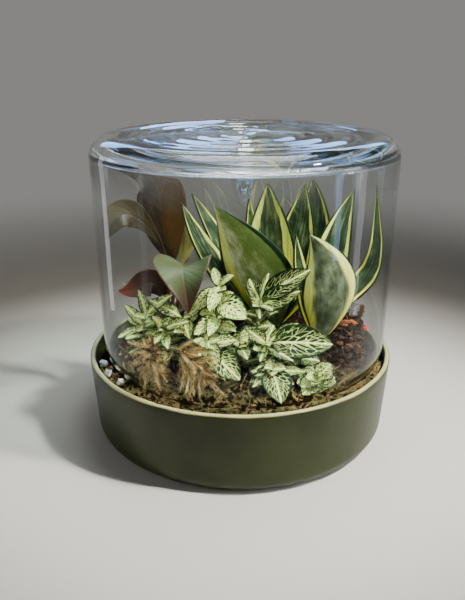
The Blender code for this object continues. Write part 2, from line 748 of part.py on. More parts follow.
def make_moss(ground, home, cutters, green):
    """Sheet moss along the front of the soil, with short blades standing out of it and room for the stems."""
    draw = random.Random(60)
    feet = [Vector(stem.foot) for stem in FITTONIA_STEMS]
    bm = bmesh.new()
    bmesh.ops.create_grid(bm, x_segments=MOSS_COLUMNS, y_segments=len(MOSS_RINGS) - 1, size=1.0)
    for vert in bm.verts:
        share = (vert.co.x + 1) / 2
        angle = radians(MOSS_SPAN[0] + (MOSS_SPAN[1] - MOSS_SPAN[0]) * share)
        ring = round((1 - vert.co.y) / 2 * (len(MOSS_RINGS) - 1))
        radius = MOSS_RINGS[ring] + MOSS_WOBBLE * sin(11 * share + 4 * ring)
        x = DOME_SHIFT + radius * cos(angle)
        y = radius * sin(angle)
        vert.co = (x, y, ground.height(x, y) + MOSS_LIFT)
    bmesh.ops.triangulate(bm, faces=bm.faces)
    patch = add_object("Patch", mesh_of(bm, "Patch"), home)
    shell = patch.modifiers.new("Thickness", "SOLIDIFY")
    shell.thickness = MOSS_THICK * MM
    shell.offset = 1
    bake(patch)
    top = len(patch.data.vertices) // 2
    for vert in patch.data.vertices[:top]:
        vert.co.z += MOSS_BUMP * draw.random() * MM
    room = patch.modifiers.new("Stem holes", "BOOLEAN")
    room.operand_type = "COLLECTION"
    room.collection = cutters
    room.solver = "MANIFOLD"
    pieces = [bake(patch)]
    while len(pieces) <= MOSS_BLADES:
        angle = radians(draw.uniform(MOSS_SPAN[0] + MOSS_EDGE, MOSS_SPAN[1] - MOSS_EDGE))
        radius = draw.uniform(MOSS_RINGS[0] + MOSS_EDGE, MOSS_RINGS[-1] - MOSS_EDGE)
        place = Vector((DOME_SHIFT + radius * cos(angle), radius * sin(angle)))
        if min((place - foot).length for foot in feet) < MOSS_CLEARANCE:
            continue
        root = Vector((*place, ground.height(*place) + MOSS_LIFT + MOSS_BLADE_SUNK))
        lean = Vector((draw.uniform(-MOSS_LEAN, MOSS_LEAN), draw.uniform(-MOSS_LEAN, MOSS_LEAN), 1))
        tip = root + lean * MOSS_BLADE_LENGTH * draw.uniform(0.7, 1.1)
        pieces.append(needle(root, kept_inside(tip, ground), MOSS_BLADE_RADIUS, home))
    return fused("moss_mat", pieces, home, green, "MANIFOLD")


def make_heather(number, place, ground, home, cutters, brown):
    """Small dry sprig: a thin stem with short needles round it."""
    drill_hole(place, HEATHER_HOLE, ground, cutters)
    level = ground.height(*place)
    top = (place[0] + HEATHER_LEAN, place[1] - HEATHER_LEAN, level + HEATHER_HEIGHT)
    line = ((*place, level - HEATHER_FOOT), (*place, level + HEATHER_HEIGHT / 3), top)
    pieces = [tube(line, HEATHER_RADII, home, 4)]
    reach, rise, radius = HEATHER_NEEDLE
    for i in range(HEATHER_NEEDLES):
        root = bezier(line, 0.5 + 0.1 * i)[0]
        turn = radians(GOLDEN_TURN * i)
        tip = root + Vector((reach * cos(turn), reach * sin(turn), rise))
        pieces.append(needle(root, tip, radius, home))
    return fused(f"heather_sprig_{number}", pieces, home, brown)


# Assembly
def main():
    """Build the terrarium from the bowl inwards."""
    clear_scene()
    home = collection("dome_terrarium")
    cutters = collection("cutters")
    earth = material("soil", (0.030, 0.019, 0.012), 0.95)
    white = material("white_stone", (0.72, 0.70, 0.66), 0.7)
    straw = material("straw", (0.42, 0.28, 0.12), 0.9)
    leaf_green = material("fittonia_leaf", (0.20, 0.32, 0.12), 0.5)
    snake_green = material("snake_plant_leaf", (0.16, 0.26, 0.09), 0.4)
    dark_leaf = material("philodendron_leaf", (0.085, 0.045, 0.022), 0.35)
    red_stalk = material("philodendron_stalk", (0.42, 0.055, 0.035), 0.4)
    moss = material("moss", (0.12, 0.13, 0.035), 0.95)
    bark = material("bark", (0.36, 0.15, 0.05), 0.9)
    red = material("bark_end", (0.45, 0.05, 0.03), 0.8)

    make_bowl(home, material("olive_glaze", (0.21, 0.22, 0.12), 0.35))
    make_dome(home, material("clear_glass", (0.95, 0.97, 0.97), 0.02, 0.0, 1.0))
    make_stone_layer(home, white)
    soil = make_soil(home, cutters, earth)
    ground = Ground([soil])
    for number, plan in enumerate(FITTONIA_STEMS, 1):
        make_fittonia(number, plan, ground, home, cutters, leaf_green)
    for number, plan in enumerate(SNAKE_ROSETTES, 1):
        make_rosette(number, plan, ground, home, cutters, snake_green)
    make_philodendron(ground, home, cutters, red_stalk, dark_leaf)
    for number, place in enumerate(HEATHER, 1):
        make_heather(number, place, ground, home, cutters, bark)
    for number, (place, half) in enumerate(STONES, 1):
        make_lump(f"white_stone_{number}", place, half, ground, home, white, number)
    make_lump("bark_chip", *BARK_CHIP, ground, home, bark, 11)
    make_lump("bark_tip", *BARK_TIP, ground, home, red, 12)
    mat = make_moss(ground, home, cutters, moss)
    covered = Ground([soil, mat])
    tufts = [make_tuft(number, plan, covered, home, straw) for number, plan in enumerate(TUFTS, 1)]
    make_lump("bark_sliver", *BARK_SLIVER, Ground(tufts), home, bark, 13)


main()
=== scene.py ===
# %% [markdown]
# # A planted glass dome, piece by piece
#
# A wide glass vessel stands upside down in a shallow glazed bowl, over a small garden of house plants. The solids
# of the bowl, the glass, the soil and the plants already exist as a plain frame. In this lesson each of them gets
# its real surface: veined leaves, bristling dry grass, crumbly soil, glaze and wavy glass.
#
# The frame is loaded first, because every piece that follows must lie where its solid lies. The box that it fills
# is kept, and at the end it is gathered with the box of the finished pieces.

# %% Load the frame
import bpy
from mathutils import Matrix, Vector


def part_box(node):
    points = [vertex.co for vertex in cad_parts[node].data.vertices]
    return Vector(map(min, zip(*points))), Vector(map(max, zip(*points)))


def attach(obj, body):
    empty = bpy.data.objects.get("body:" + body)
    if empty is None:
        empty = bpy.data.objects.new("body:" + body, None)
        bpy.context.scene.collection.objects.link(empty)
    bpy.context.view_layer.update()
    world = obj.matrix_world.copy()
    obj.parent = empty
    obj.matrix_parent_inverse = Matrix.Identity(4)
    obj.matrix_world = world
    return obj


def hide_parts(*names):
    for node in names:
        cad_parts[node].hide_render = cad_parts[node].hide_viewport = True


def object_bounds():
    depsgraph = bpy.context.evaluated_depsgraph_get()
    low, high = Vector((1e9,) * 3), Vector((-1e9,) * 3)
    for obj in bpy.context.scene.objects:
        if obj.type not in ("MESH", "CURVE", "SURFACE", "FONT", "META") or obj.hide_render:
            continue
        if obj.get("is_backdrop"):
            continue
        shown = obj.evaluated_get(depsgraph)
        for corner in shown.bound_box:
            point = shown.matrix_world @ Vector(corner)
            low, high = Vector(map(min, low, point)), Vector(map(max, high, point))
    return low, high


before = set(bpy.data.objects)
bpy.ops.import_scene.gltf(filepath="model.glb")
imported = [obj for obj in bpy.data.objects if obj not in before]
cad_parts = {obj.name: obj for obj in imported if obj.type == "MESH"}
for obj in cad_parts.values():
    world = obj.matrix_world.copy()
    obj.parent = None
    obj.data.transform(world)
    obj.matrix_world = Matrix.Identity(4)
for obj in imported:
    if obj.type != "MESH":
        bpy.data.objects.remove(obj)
frame_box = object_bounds()
print("frame holds", len(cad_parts), "solids")

# %% Modules and units
from collections import namedtuple
from functools import partialmethod

import bmesh
import bpy
import numpy as np

MM = 0.001
DEGREE = np.pi / 180
print("all lengths below are in millimetres, all angles in degrees")

# %% [markdown]
# ## From arrays to meshes
#
# A surface could be modelled by hand, or built vertex by vertex in a loop. Both are slow for leaves and bristles
# that come in hundreds. Here every shape is an array of points, worked out at once by a formula, and a heap
# gathers such arrays until they make one mesh. Each point also carries two triples of numbers: `leaf` says where
# it lies on its blade, from -1 to 1 across and from 0 to 1 along, and how pale it is; `size` says the same place in
# millimetres, with a seed. The materials read them later, so that veins and bands follow each blade wherever it bends.

# %% Heaps of grids
def unit(vectors):
    """Vectors divided by their own lengths."""
    return vectors / np.maximum(np.linalg.norm(vectors, axis=-1, keepdims=True), 1e-9)


def grid_faces(rows, columns, closed=False):
    """Quads of a grid of points: each joins point i, j to its next neighbours; a closed grid joins its last column."""
    index = np.arange(rows * columns).reshape(rows, columns)
    if closed:
        index = np.concatenate([index, index[:, :1]], axis=1)
    corners = index[:-1, :-1], index[:-1, 1:], index[1:, 1:], index[1:, :-1]
    return np.stack(corners, axis=-1).reshape(-1, 4)


def put(name, data):
    """Object of some data, in the scene."""
    made = bpy.data.objects.new(name, data)
    bpy.context.scene.collection.objects.link(made)
    return made


class Heap:
    """Grids, needles and lumps whose arrays become one mesh."""

    def __init__(self):
        self.points, self.leaf, self.size = [], [], []
        self.faces, self.finish = [], []
        self.count = 0

    def add(self, points, faces, leaf=(0, 0, 0), size=None, finish=0):
        """Put points and arrays of faces on the heap; a triple is three numbers or arrays, by default the place."""
        flat = np.zeros(points.shape[:-1])
        self.points.append(points.reshape(-1, 3))
        for layer, triple in (self.leaf, leaf), (self.size, np.moveaxis(points, -1, 0) if size is None else size):
            layer.append(np.stack([value + flat for value in triple], axis=-1).reshape(-1, 3))
        for kind in faces:
            self.faces += (kind + self.count).tolist()
            self.finish += [finish] * len(kind)
        self.count += flat.size

    def add_rings(self, points, shade=0.0):
        """Put closed rings of points on the heap, all of one shade."""
        self.add(points, [grid_faces(*points.shape[:2], closed=True)], (0, 0, shade))

    def piece(self, name, finishes, node, thick=0.0, smooth=True):
        """Object of the heap, which stands for a CAD node and rides with it; thick makes open sheets solid."""
        mesh = bpy.data.meshes.new(name)
        mesh.from_pydata((np.concatenate(self.points) * MM).tolist(), [], self.faces)
        for key, values in (("leaf", self.leaf), ("size", self.size)):
            layer = mesh.attributes.new(key, "FLOAT_VECTOR", "POINT")
            layer.data.foreach_set("vector", np.concatenate(values).astype(np.float32).ravel())
        mesh.polygons.foreach_set("material_index", np.array(self.finish, dtype=np.int32))
        mesh.polygons.foreach_set("use_smooth", np.full(len(mesh.polygons), smooth))
        for finish in finishes:
            mesh.materials.append(finish)
        made = put(name, mesh)
        if thick:
            wall = made.modifiers.new("Thickness", "SOLIDIFY")
            wall.thickness = thick * MM
            wall.offset = 0
        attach(made, "root")
        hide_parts(node)
        print(name, "has", len(self.faces), "faces")
        return made


print("a 3 by 4 grid has", len(grid_faces(3, 4)), "faces")

# %% [markdown]
# ## Lines, blades and tubes
#
# A leaf or a stalk follows a Bezier line. Its points come from blending neighbouring control points again and
# again until one is left, which works on a whole array of parameters at once. A blade is a sheet laid across that
# line: an outline gives its half width, a cup lifts its edges, and two marks give its third number at the left and
# right edge. A tube is a small circle carried along the line.

# %% Shapes along a line
def bezier(line, t):
    """Points and directions at every t: neighbouring control points are blended by t until two are left."""
    t = np.asarray(t, dtype=float)[:, None]
    points = [np.array(point, dtype=float) + 0 * t for point in line]
    while len(points) > 2:
        points = [a + (b - a) * t for a, b in zip(points, points[1:])]
    return points[0] + (points[1] - points[0]) * t, unit(points[1] - points[0])


LEAST_HALF = 0.06


def add_blade(heap, line, width, face, outline, cup, grid, relief, marks, seed, finish=0):
    """Sheet along a line: point = line + side * half width * u + up * (cup * half width * u squared + relief)."""
    along = np.linspace(0, 1, grid[0])
    middle, ahead = bezier(line, along)
    side = unit(np.cross(ahead, face))
    up = np.cross(side, ahead)
    v, u = np.meshgrid(along, np.linspace(-1, 1, grid[1]), indexing="ij")
    half = np.maximum(width / 2 * outline(along), LEAST_HALF)[:, None]
    lift = cup * half * u**2 + relief(u, v, half)
    points = middle[:, None] + side[:, None] * (half * u)[..., None] + up[:, None] * lift[..., None]
    reach = np.linalg.norm(np.diff(middle, axis=0), axis=1).sum()
    mark = marks[0] + (marks[1] - marks[0]) * (u + 1) / 2
    heap.add(points, [grid_faces(*grid)], (u, v, mark), (half * u, reach * v, seed), finish)


def circles(ahead, guide, sides):
    """Unit circle square to each direction: side * cos a + up * sin a."""
    side = unit(np.cross(ahead, guide))
    up = np.cross(ahead, side)
    turn = np.arange(sides)[:, None] * 2 * np.pi / sides
    return side[:, None] * np.cos(turn) + up[:, None] * np.sin(turn)


def tube_faces(rows, sides):
    """Quads round a tube, and a cap at either end."""
    turn = np.arange(sides)
    return grid_faces(rows, sides, closed=True), np.array((turn[::-1], turn + (rows - 1) * sides))


TUBE_GUIDE = (0.31, 0.89, 0.33)
TUBE_END = 0.3


def add_tube(heap, line, radii, rows=14, sides=8):
    """Tapering tube: point = line + radius * circle; its ends are small rings with a cap."""
    along = np.linspace(0, 1, rows)
    middle, ahead = bezier(line, along)
    radius = radii[0] + (radii[1] - radii[0]) * along
    radius[[0, -1]] *= TUBE_END
    points = middle[:, None] + circles(ahead, TUBE_GUIDE, sides) * radius[:, None, None]
    heap.add(points, tube_faces(rows, sides), (0, along[:, None], 0.5))


print("a triangle round a line has", circles(np.eye(3), TUBE_GUIDE, 3).shape[1], "corners")

# %% [markdown]
# ## Needles and crumbs by the thousand
#
# Dry grass, moss and soil fibres are bristles: three-sided needles that bend and taper. A particle system would
# draw them, but it is lost when a model leaves Blender, so they are real faces here. One call works out all the
# needles of a tuft as a single array. Crumbs are treated alike: a jittered icosahedron for each.

# %% Needles and crumbs
NEEDLE_GUIDE = (0.37, 0.53, 0.76)
NEEDLE_TAPER = 0.88
CRUMB_FLATNESS = (1, 1, 0.75)
CRUMB_JITTER = 0.28
CRUMB_STRETCH = (0.65, 1.25)
ICO_FACES = np.array((
    (0, 1, 2), (0, 2, 3), (0, 3, 4), (0, 4, 5), (0, 5, 1), (1, 6, 2), (2, 7, 3), (3, 8, 4), (4, 9, 5), (5, 10, 1),
    (6, 7, 2), (7, 8, 3), (8, 9, 4), (9, 10, 5), (10, 6, 1), (11, 7, 6), (11, 8, 7), (11, 9, 8), (11, 10, 9),
    (11, 6, 10),
))


def ico_points():
    """Twelve points of an icosahedron: two poles and two rings of five, half a step apart."""
    step = 2 * np.pi / 5
    low, high = np.arctan(-0.5), np.arctan(0.5)
    rings = [(np.arange(5) * step, high), (np.arange(5) * step + step / 2, low)]
    around = [np.stack([np.cos(a) * np.cos(e), np.sin(a) * np.cos(e), np.sin(e) + 0 * a], axis=1) for a, e in rings]
    return np.concatenate([[(0, 0, 1)], around[0], around[1], [(0, 0, -1)]])


def add_needles(heap, roots, ways, lengths, radii, bends, shades, rings=3):
    """Put n needles on a heap: point = root + way * length * t + bend * t squared, on a triangle that narrows."""
    t = np.linspace(0.0, 1.0, rings)
    ways = unit(ways)
    middle = roots[:, None] + ways[:, None] * (lengths[:, None] * t)[..., None] + bends[:, None] * (t**2)[:, None]
    spread = radii[:, None] * (1 - NEEDLE_TAPER * t**2)
    points = middle[:, :, None] + circles(ways, NEEDLE_GUIDE, 3)[:, None] * spread[..., None, None]
    shift = 3 * rings * np.arange(len(roots))[:, None, None]
    faces = [(kind + shift).reshape(-1, kind.shape[1]) for kind in tube_faces(rings, 3)]
    heap.add(points, faces, (0, t[:, None], shades[:, None, None]))


def add_crumbs(heap, places, sizes, draw, shades):
    """Put n crumbs on a heap: icosahedra stretched and jittered at random, a little flattened."""
    n = len(places)
    shape = ico_points() * (1 + draw.uniform(-CRUMB_JITTER, CRUMB_JITTER, (n, 12, 1)))
    frames = np.linalg.qr(draw.normal(size=(n, 3, 3)))[0]
    shape = np.einsum("nij,nkj->nki", frames, shape * draw.uniform(*CRUMB_STRETCH, (n, 1, 3)))
    points = places[:, None] + shape * sizes[:, None, None] * CRUMB_FLATNESS
    faces = ICO_FACES + 12 * np.arange(n)[:, None, None]
    mirrored = np.linalg.det(frames) < 0
    faces[mirrored] = faces[mirrored][:, :, ::-1]
    heap.add(points, [faces.reshape(-1, 3)], (0, 0, shades[:, None]))


print("an icosahedron has", len(ico_points()), "points and", len(ICO_FACES), "faces")


# %% Uneven surfaces
WAVES = 9
PITCH_SPREAD = (0.7, 1.6)
CREST = 1.5


def roughness_field(x, y, pitch, seed):
    """Bumps of about a given pitch, mostly from -1 to 1: a scaled sum of sine waves in random directions."""
    draw = np.random.default_rng(seed)
    turn = draw.uniform(0, 2 * np.pi, WAVES)
    phase = draw.uniform(0, 2 * np.pi, WAVES)
    rate = 2 * np.pi / (pitch * draw.uniform(*PITCH_SPREAD, WAVES))
    total = 0 * x
    for angle, shift, speed in zip(turn, phase, rate):
        total = total + np.sin((x * np.cos(angle) + y * np.sin(angle)) * speed + shift)
    return total / np.sqrt(WAVES) / CREST


print("bumps of a line of ten points:", roughness_field(np.arange(10.0), 0.0, 5.0, 1).round(1))

# %% [markdown]
# ## Writing shaders as expressions
#
# A material is a tree of nodes. Drawn by hand it soon becomes a knot, so here a node's output is wrapped in a
# `Value`, on which Python's own operators add Math nodes: `1 - mask * 0.5` builds two nodes and the links between
# them. Everything else comes from one method, `add`, which takes a node's type, settings and inputs. Colours are
# written as a screen shows them, with three numbers from 0 to 255, and turned into linear light on the way.

# %% A small shader language
def tint(red, green, blue):
    """Linear colour of three values from 0 to 255 as a screen shows them."""
    share = np.array((red, green, blue)) / 255
    linear = np.where(share <= 0.04045, share / 12.92, ((share + 0.055) / 1.055) ** 2.4)
    return (*linear.tolist(), 1.0)


class Value:
    """A socket on which Python's operators add Math nodes."""

    def __init__(self, finish, socket):
        self.finish, self.socket = finish, socket

    def math(self, operation, *values):
        """Math node of one operation on this and other values."""
        return self.finish.math(operation, self, *values)

    def __rsub__(self, other):
        return self.finish.math("SUBTRACT", other, self)

    __add__ = __radd__ = partialmethod(math, "ADD")
    __mul__ = __rmul__ = partialmethod(math, "MULTIPLY")
    __sub__ = partialmethod(math, "SUBTRACT")
    __truediv__ = partialmethod(math, "DIVIDE")
    __pow__ = partialmethod(math, "POWER")
    __abs__ = partialmethod(math, "ABSOLUTE")


class Finish:
    """A material: its Principled shader with constant sockets, and the method that adds any other node."""

    def __init__(self, name, **constants):
        self.material = bpy.data.materials.new(name)
        self.material.use_nodes = True
        self.tree = self.material.node_tree
        self.shader = self.tree.nodes["Principled BSDF"]
        for socket, value in constants.items():
            self.feed(self.shader.inputs[socket.replace("_", " ")], value)

    def add(self, kind, inputs=None, output=0, stops=None, **settings):
        """Node of a type, with its settings and a ramp's stops first, then its inputs as numbers or links."""
        node = self.tree.nodes.new(kind)
        for key, value in settings.items():
            setattr(node, key, value)
        if stops:
            elements = node.color_ramp.elements
            while len(elements) < len(stops):
                elements.new(1.0)
            for element, (place, colour) in zip(elements, stops.items()):
                element.position, element.color = place, tint(*colour)
        for key, value in (inputs or {}).items():
            self.feed(node.inputs[key], value)
        return Value(self, node.outputs[output])

    def feed(self, socket, value):
        """Link a value to a socket, or write a number there; a colour of three numbers is one that a screen shows."""
        if isinstance(value, Value):
            self.tree.links.new(value.socket, socket)
        else:
            socket.default_value = tint(*value) if np.size(value) == 3 else value

    def math(self, operation, *values):
        """Math node on values and numbers."""
        return self.add("ShaderNodeMath", dict(enumerate(values)), operation=operation)

    def step(self, value, low, high):
        """Smooth step: 0 below low, 1 above high, or the other way round where low is the greater."""
        flip = low > high
        inputs = {0: value, 1: min(low, high), 2: max(low, high), 3: 1.0 * flip, 4: 1.0 - flip}
        return self.add("ShaderNodeMapRange", inputs, interpolation_type="SMOOTHSTEP")

    def mix(self, share, first, second):
        """Colour between two colours."""
        return self.add("ShaderNodeMix", {0: share, 6: first, 7: second}, 2, data_type="RGBA")

    def ramp(self, value, stops):
        """Colour of a value on a ramp, whose stops are places and their colours."""
        return self.add("ShaderNodeValToRGB", {0: value}, stops=stops)

    def place(self):
        """Object coordinates in metres."""
        return self.add("ShaderNodeTexCoord", output=3)

    def split(self, vector):
        """The three numbers of a vector."""
        return [self.add("ShaderNodeSeparateXYZ", {0: vector}, i) for i in range(3)]

    def triple(self, name):
        """The three numbers of an attribute."""
        return self.split(self.add("ShaderNodeAttribute", output=1, attribute_name=name))

    def vector(self, x, y, z=0.0):
        """Vector of three values."""
        return self.add("ShaderNodeCombineXYZ", {0: x, 1: y, 2: z})

    def noise(self, where, scale, detail=3.0, roughness=0.55):
        """Cloudy value about 0.5."""
        inputs = {"Vector": where, "Scale": scale, "Detail": detail, "Roughness": roughness}
        return self.add("ShaderNodeTexNoise", inputs)

    def cells(self, where):
        """Distance from the edges of flat Voronoi cells of unit size."""
        inputs = {"Vector": where, "Scale": 1.0}
        return self.add("ShaderNodeTexVoronoi", inputs, feature="DISTANCE_TO_EDGE", voronoi_dimensions="2D")

    def bump(self, height, depth):
        """Normal raised by a height of a given depth in millimetres."""
        inputs = {"Strength": 1.0, "Distance": depth * MM, "Height": height}
        self.feed(self.shader.inputs["Normal"], self.add("ShaderNodeBump", inputs))

    def paint(self, colour, roughness):
        """Feed the colour and roughness of the shader; gives back the material."""
        self.feed(self.shader.inputs["Base Color"], colour)
        self.feed(self.shader.inputs["Roughness"], roughness)
        return self.material


print("mid grey is", round(tint(128, 128, 128)[0], 3), "in linear light")

# %% [markdown]
# ## The glazed bowl
#
# The bowl is thrown stoneware with a satin olive glaze. The glaze runs thin over the rim, where the pale body
# shines through; that pale rim is also a painted highlight. The glaze holds fine dark specks. The shape is a profile
# turned round the axis: floor, inner wall, rounded rim, outer wall and rounded foot. A Screw modifier would do as
# well; as an array, the same function also gives the glass and the soil.

# %% Turn a profile
TURN_STEPS = 192
WELD_REACH = 0.001
RIM_RADIUS = 150.0
BOWL_HEIGHT = 82.2
FOOT_RADIUS = 145.4
FOOT_ROUNDING = 15.9
BOWL_WALL = 5.2
FLOOR = 6.0
FLAT = 70.0
FLOOR_ROUNDING = 11.0


def arc(middle, radius, start, end, count):
    """Points of an arc: middle + radius * (cos a, sin a)."""
    angle = np.linspace(start, end, count) * DEGREE
    return np.stack([middle[0] + radius * np.cos(angle), middle[1] + radius * np.sin(angle)], axis=1)


def line_points(start, end, count):
    """Evenly spaced points of a straight stretch, without its ends."""
    return np.linspace(start, end, count + 2)[1:-1]


def turn_profile(profile, shift=0.0, steps=TURN_STEPS):
    """Rings of a profile: x = r cos a + shift, y = r sin a, z = height; a runs so that faces point outwards."""
    angle = -np.arange(steps) * 2 * np.pi / steps
    radius, height = profile[:, :1], profile[:, 1:]
    return np.stack([radius * np.cos(angle) + shift, radius * np.sin(angle), height + 0 * angle], axis=-1)


def weld(made):
    """Merge the points that meet at the poles of a turned piece."""
    bm = bmesh.new()
    bm.from_mesh(made.data)
    bmesh.ops.remove_doubles(bm, verts=bm.verts, dist=WELD_REACH * MM)
    bmesh.ops.recalc_face_normals(bm, faces=bm.faces)
    bm.to_mesh(made.data)
    bm.free()
    return made


rim_middle = (RIM_RADIUS - BOWL_WALL / 2, BOWL_HEIGHT - BOWL_WALL / 2)
bowl_profile = np.concatenate([
    [(0, FLOOR), (FLAT, FLOOR)],
    arc((FOOT_RADIUS - BOWL_WALL - FLOOR_ROUNDING, FLOOR + FLOOR_ROUNDING), FLOOR_ROUNDING, -90, 0, 8),
    arc(rim_middle, BOWL_WALL / 2, 180, 0, 13),
    line_points((RIM_RADIUS, rim_middle[1]), (FOOT_RADIUS, FOOT_ROUNDING), 8),
    arc((FOOT_RADIUS - FOOT_ROUNDING, FOOT_ROUNDING), FOOT_ROUNDING, 0, -90, 14),
    [(FLAT, 0), (0, 0)],
])
print("the bowl's profile has", len(bowl_profile), "points")


# %% Glaze
def olive_glaze():
    """Satin glaze, mottled and specked, paler over the rim, where it runs thin and where a highlight is painted."""
    finish = Finish("olive_glaze", Specular_IOR_Level=0.15, Coat_Weight=0.14, Coat_Roughness=0.2)
    place = finish.place()
    height = finish.split(place)[2]
    cloud = finish.noise(place, 18.0)
    specks = finish.step(finish.noise(place, 900.0, 1.0), 0.70, 0.78)
    # The pale rim band is partly thin glaze and partly a painted highlight.
    thin_glaze_and_highlight = finish.step(height + (cloud - 0.5) * 0.004, (BOWL_HEIGHT - 1.9) * MM, (BOWL_HEIGHT - 0.4) * MM)
    body = finish.mix(finish.step(cloud, 0.3, 0.7), (38, 44, 20), (49, 55, 27))
    body = finish.mix(specks * 0.45, body, (34, 33, 20))
    body = finish.mix(thin_glaze_and_highlight * 0.85, body, (182, 180, 122))
    finish.bump(finish.noise(place, 260.0, 2.0), 0.12)
    return finish.paint(body, 0.30 + cloud * 0.16)


bowl = Heap()
bowl.add_rings(turn_profile(bowl_profile))
weld(bowl.piece("glazed_bowl", [olive_glaze()], "bowl"))

# %% [markdown]
# ## The glass
#
# The vessel was blown and pressed: its base, now on top, is thick and ringed like water after a drop has fallen,
# and a thread of glass hangs inside where it was cut off. These waves catch the window light. The wall is never
# quite round, so it is drawn in by up to a third of a millimetre here and there. Solid glass casts a black shadow in
# a path tracer unless light may pass it straight, so the shader turns transparent for shadow rays, and partly so in
# the thick base, where light bent too often would only turn grey. A little absorption in the volume darkens the
# glass where it is seen along its wall, which draws its outline.

# %% Glass profile
DOME_SHIFT = 3.5
DOME_TOP = 292.0
SHOULDER_RADIUS = 141.85
SHOULDER_ROUNDING = 19.0
WAIST = (139.05, 98.0)
MOUTH = (131.5, 76.0)
GLASS_WALL = 3.6
CEILING = 278.0
CEILING_ROUNDING = 5.0
RING_PITCH = 25.0
RING_HEIGHT = 2.0
DIMPLE_DEPTH = 2.4
UNEVEN_HEIGHT = 0.1
UNEVEN_PITCH = 24.0
BASE_LOW = 240.0
BASE_HIGH = 272.0
BASE_STRAIGHT = 0.3
DRIP_STRAIGHT = 0.45
DRIP_RADII = (24.0, 18.0)
CEILING_PITCH = 17.0
CEILING_WAVE = 2.0
DARKENING = 28.0
DRIP_TIP = 235.0
DRIP_CLEAR = 30.0
RING_START = 17.5
DRIP = ((25.0, 276.6), (17.0, 271.0), (11.5, 264.0), (8.8, 256.0), (7.0, 249.0), (5.4, 243.0), (3.2, 237.0))


def neck(shift, shares):
    """In-curved mouth: the radius falls with the square of the share of the way down."""
    radius = WAIST[0] - (WAIST[0] - MOUTH[0]) * shares**2 - shift
    return np.stack([radius, WAIST[1] - (WAIST[1] - MOUTH[1]) * shares], axis=1)


flat_top = SHOULDER_RADIUS - SHOULDER_ROUNDING
inner_wall = SHOULDER_RADIUS - GLASS_WALL
ceiling_flat = inner_wall - CEILING_ROUNDING
top_radius = np.linspace(0, flat_top, 62)[:-1]
shares = np.linspace(0, 0.92, 12)
glass_profile = np.concatenate([
    np.stack([top_radius, np.full(61, DOME_TOP)], axis=1),
    arc((flat_top, DOME_TOP - SHOULDER_ROUNDING), SHOULDER_ROUNDING, 90, 0, 16),
    line_points((SHOULDER_RADIUS, DOME_TOP - SHOULDER_ROUNDING), WAIST, 24),
    neck(0, shares),
    [(MOUTH[0] - 1.0, MOUTH[1]), (MOUTH[0] - GLASS_WALL + 1.0, MOUTH[1])],
    neck(GLASS_WALL, shares[::-1]),
    line_points((WAIST[0] - GLASS_WALL, WAIST[1]), (inner_wall, CEILING - CEILING_ROUNDING), 24),
    arc((ceiling_flat, CEILING - CEILING_ROUNDING), CEILING_ROUNDING, 0, 90, 10),
    np.stack([np.linspace(ceiling_flat, DRIP_CLEAR, 40)[1:], np.full(39, CEILING)], axis=1),
    DRIP,
    [(1.6, DRIP_TIP + 0.4), (0, DRIP_TIP)],
])
print("the glass profile has", len(glass_profile), "points")


# %% Waves in the glass
def wavy(points):
    """Glass with rings and a dimple: each height loses a cosine of the radius, and sines draw the wall in."""
    x, y, z = points[..., 0] - DOME_SHIFT, points[..., 1], points[..., 2]
    radius = np.hypot(x, y)
    angle = np.arctan2(y, x)
    warped = radius + 2.6 * np.sin(2 * angle + 0.6) + 0.5 * np.sin(5 * angle + radius / 30)
    rings = 0.5 - 0.5 * np.cos(2 * np.pi * (warped - RING_START) / RING_PITCH)
    fade = np.clip((flat_top - 4 - radius) / 14, 0, 1) * np.clip(radius / 20, 0, 1)
    uneven = UNEVEN_HEIGHT * (1 + roughness_field(x, y, UNEVEN_PITCH, 8)) * np.clip((flat_top - radius) / 30, 0, 1)
    dimple = DIMPLE_DEPTH * np.exp(-((radius / 14) ** 2))
    top = (z > DOME_TOP - 0.01) * (RING_HEIGHT * rings * fade + dimple + np.maximum(uneven, 0))
    ripple = 0.5 - 0.5 * np.cos(2 * np.pi * warped / CEILING_PITCH)
    under = (np.abs(z - CEILING) < 0.01) * CEILING_WAVE * ripple * np.clip((radius - DRIP_CLEAR) / 10, 0, 1)
    swell = 0.22 * np.sin(3 * angle + z / 23) + 0.12 * np.sin(7 * angle - z / 11)
    swell = swell * (z < CEILING) * (z > MOUTH[1] + 2) * (radius > 100)
    shrink = 1 - np.maximum(swell, 0) / np.maximum(radius, 1)
    return np.stack([x * shrink + DOME_SHIFT, y * shrink, z - top + under], axis=-1)


def clear_glass():
    """Clear glass that lets shadow rays pass straight through, and some of all light in its thick base."""
    finish = Finish(
        "clear_glass", Base_Color=(0.97, 0.985, 0.98, 1.0), Roughness=0.0, IOR=1.5, Transmission_Weight=1.0,
        Specular_Tint=(0.24, 0.27, 0.32, 1.0),
    )
    shadow = finish.add("ShaderNodeLightPath", output="Is Shadow Ray")
    x, y, z = finish.split(finish.place())
    base = finish.step(z, BASE_LOW * MM, BASE_HIGH * MM) * BASE_STRAIGHT
    out = ((x - DOME_SHIFT * MM) ** 2.0 + y * y) ** 0.5
    drip = finish.step(out, *(radius * MM for radius in DRIP_RADII))
    drip = drip * finish.step(z, (CEILING + 3) * MM, CEILING * MM) * DRIP_STRAIGHT
    straight = finish.math("MAXIMUM", shadow, finish.math("MAXIMUM", base, drip))
    clear = finish.add("ShaderNodeBsdfTransparent", {"Color": (0.93, 0.95, 0.94, 1.0)})
    mixed = finish.add("ShaderNodeMixShader", {0: straight, 2: clear})
    tinted = finish.add("ShaderNodeVolumeAbsorption", {"Color": (0.45, 0.50, 0.50, 1.0), "Density": DARKENING})
    finish.tree.links.new(finish.shader.outputs[0], mixed.socket.node.inputs[1])
    ends = finish.tree.nodes["Material Output"].inputs
    finish.feed(ends["Surface"], mixed)
    finish.feed(ends["Volume"], tinted)
    return finish.material


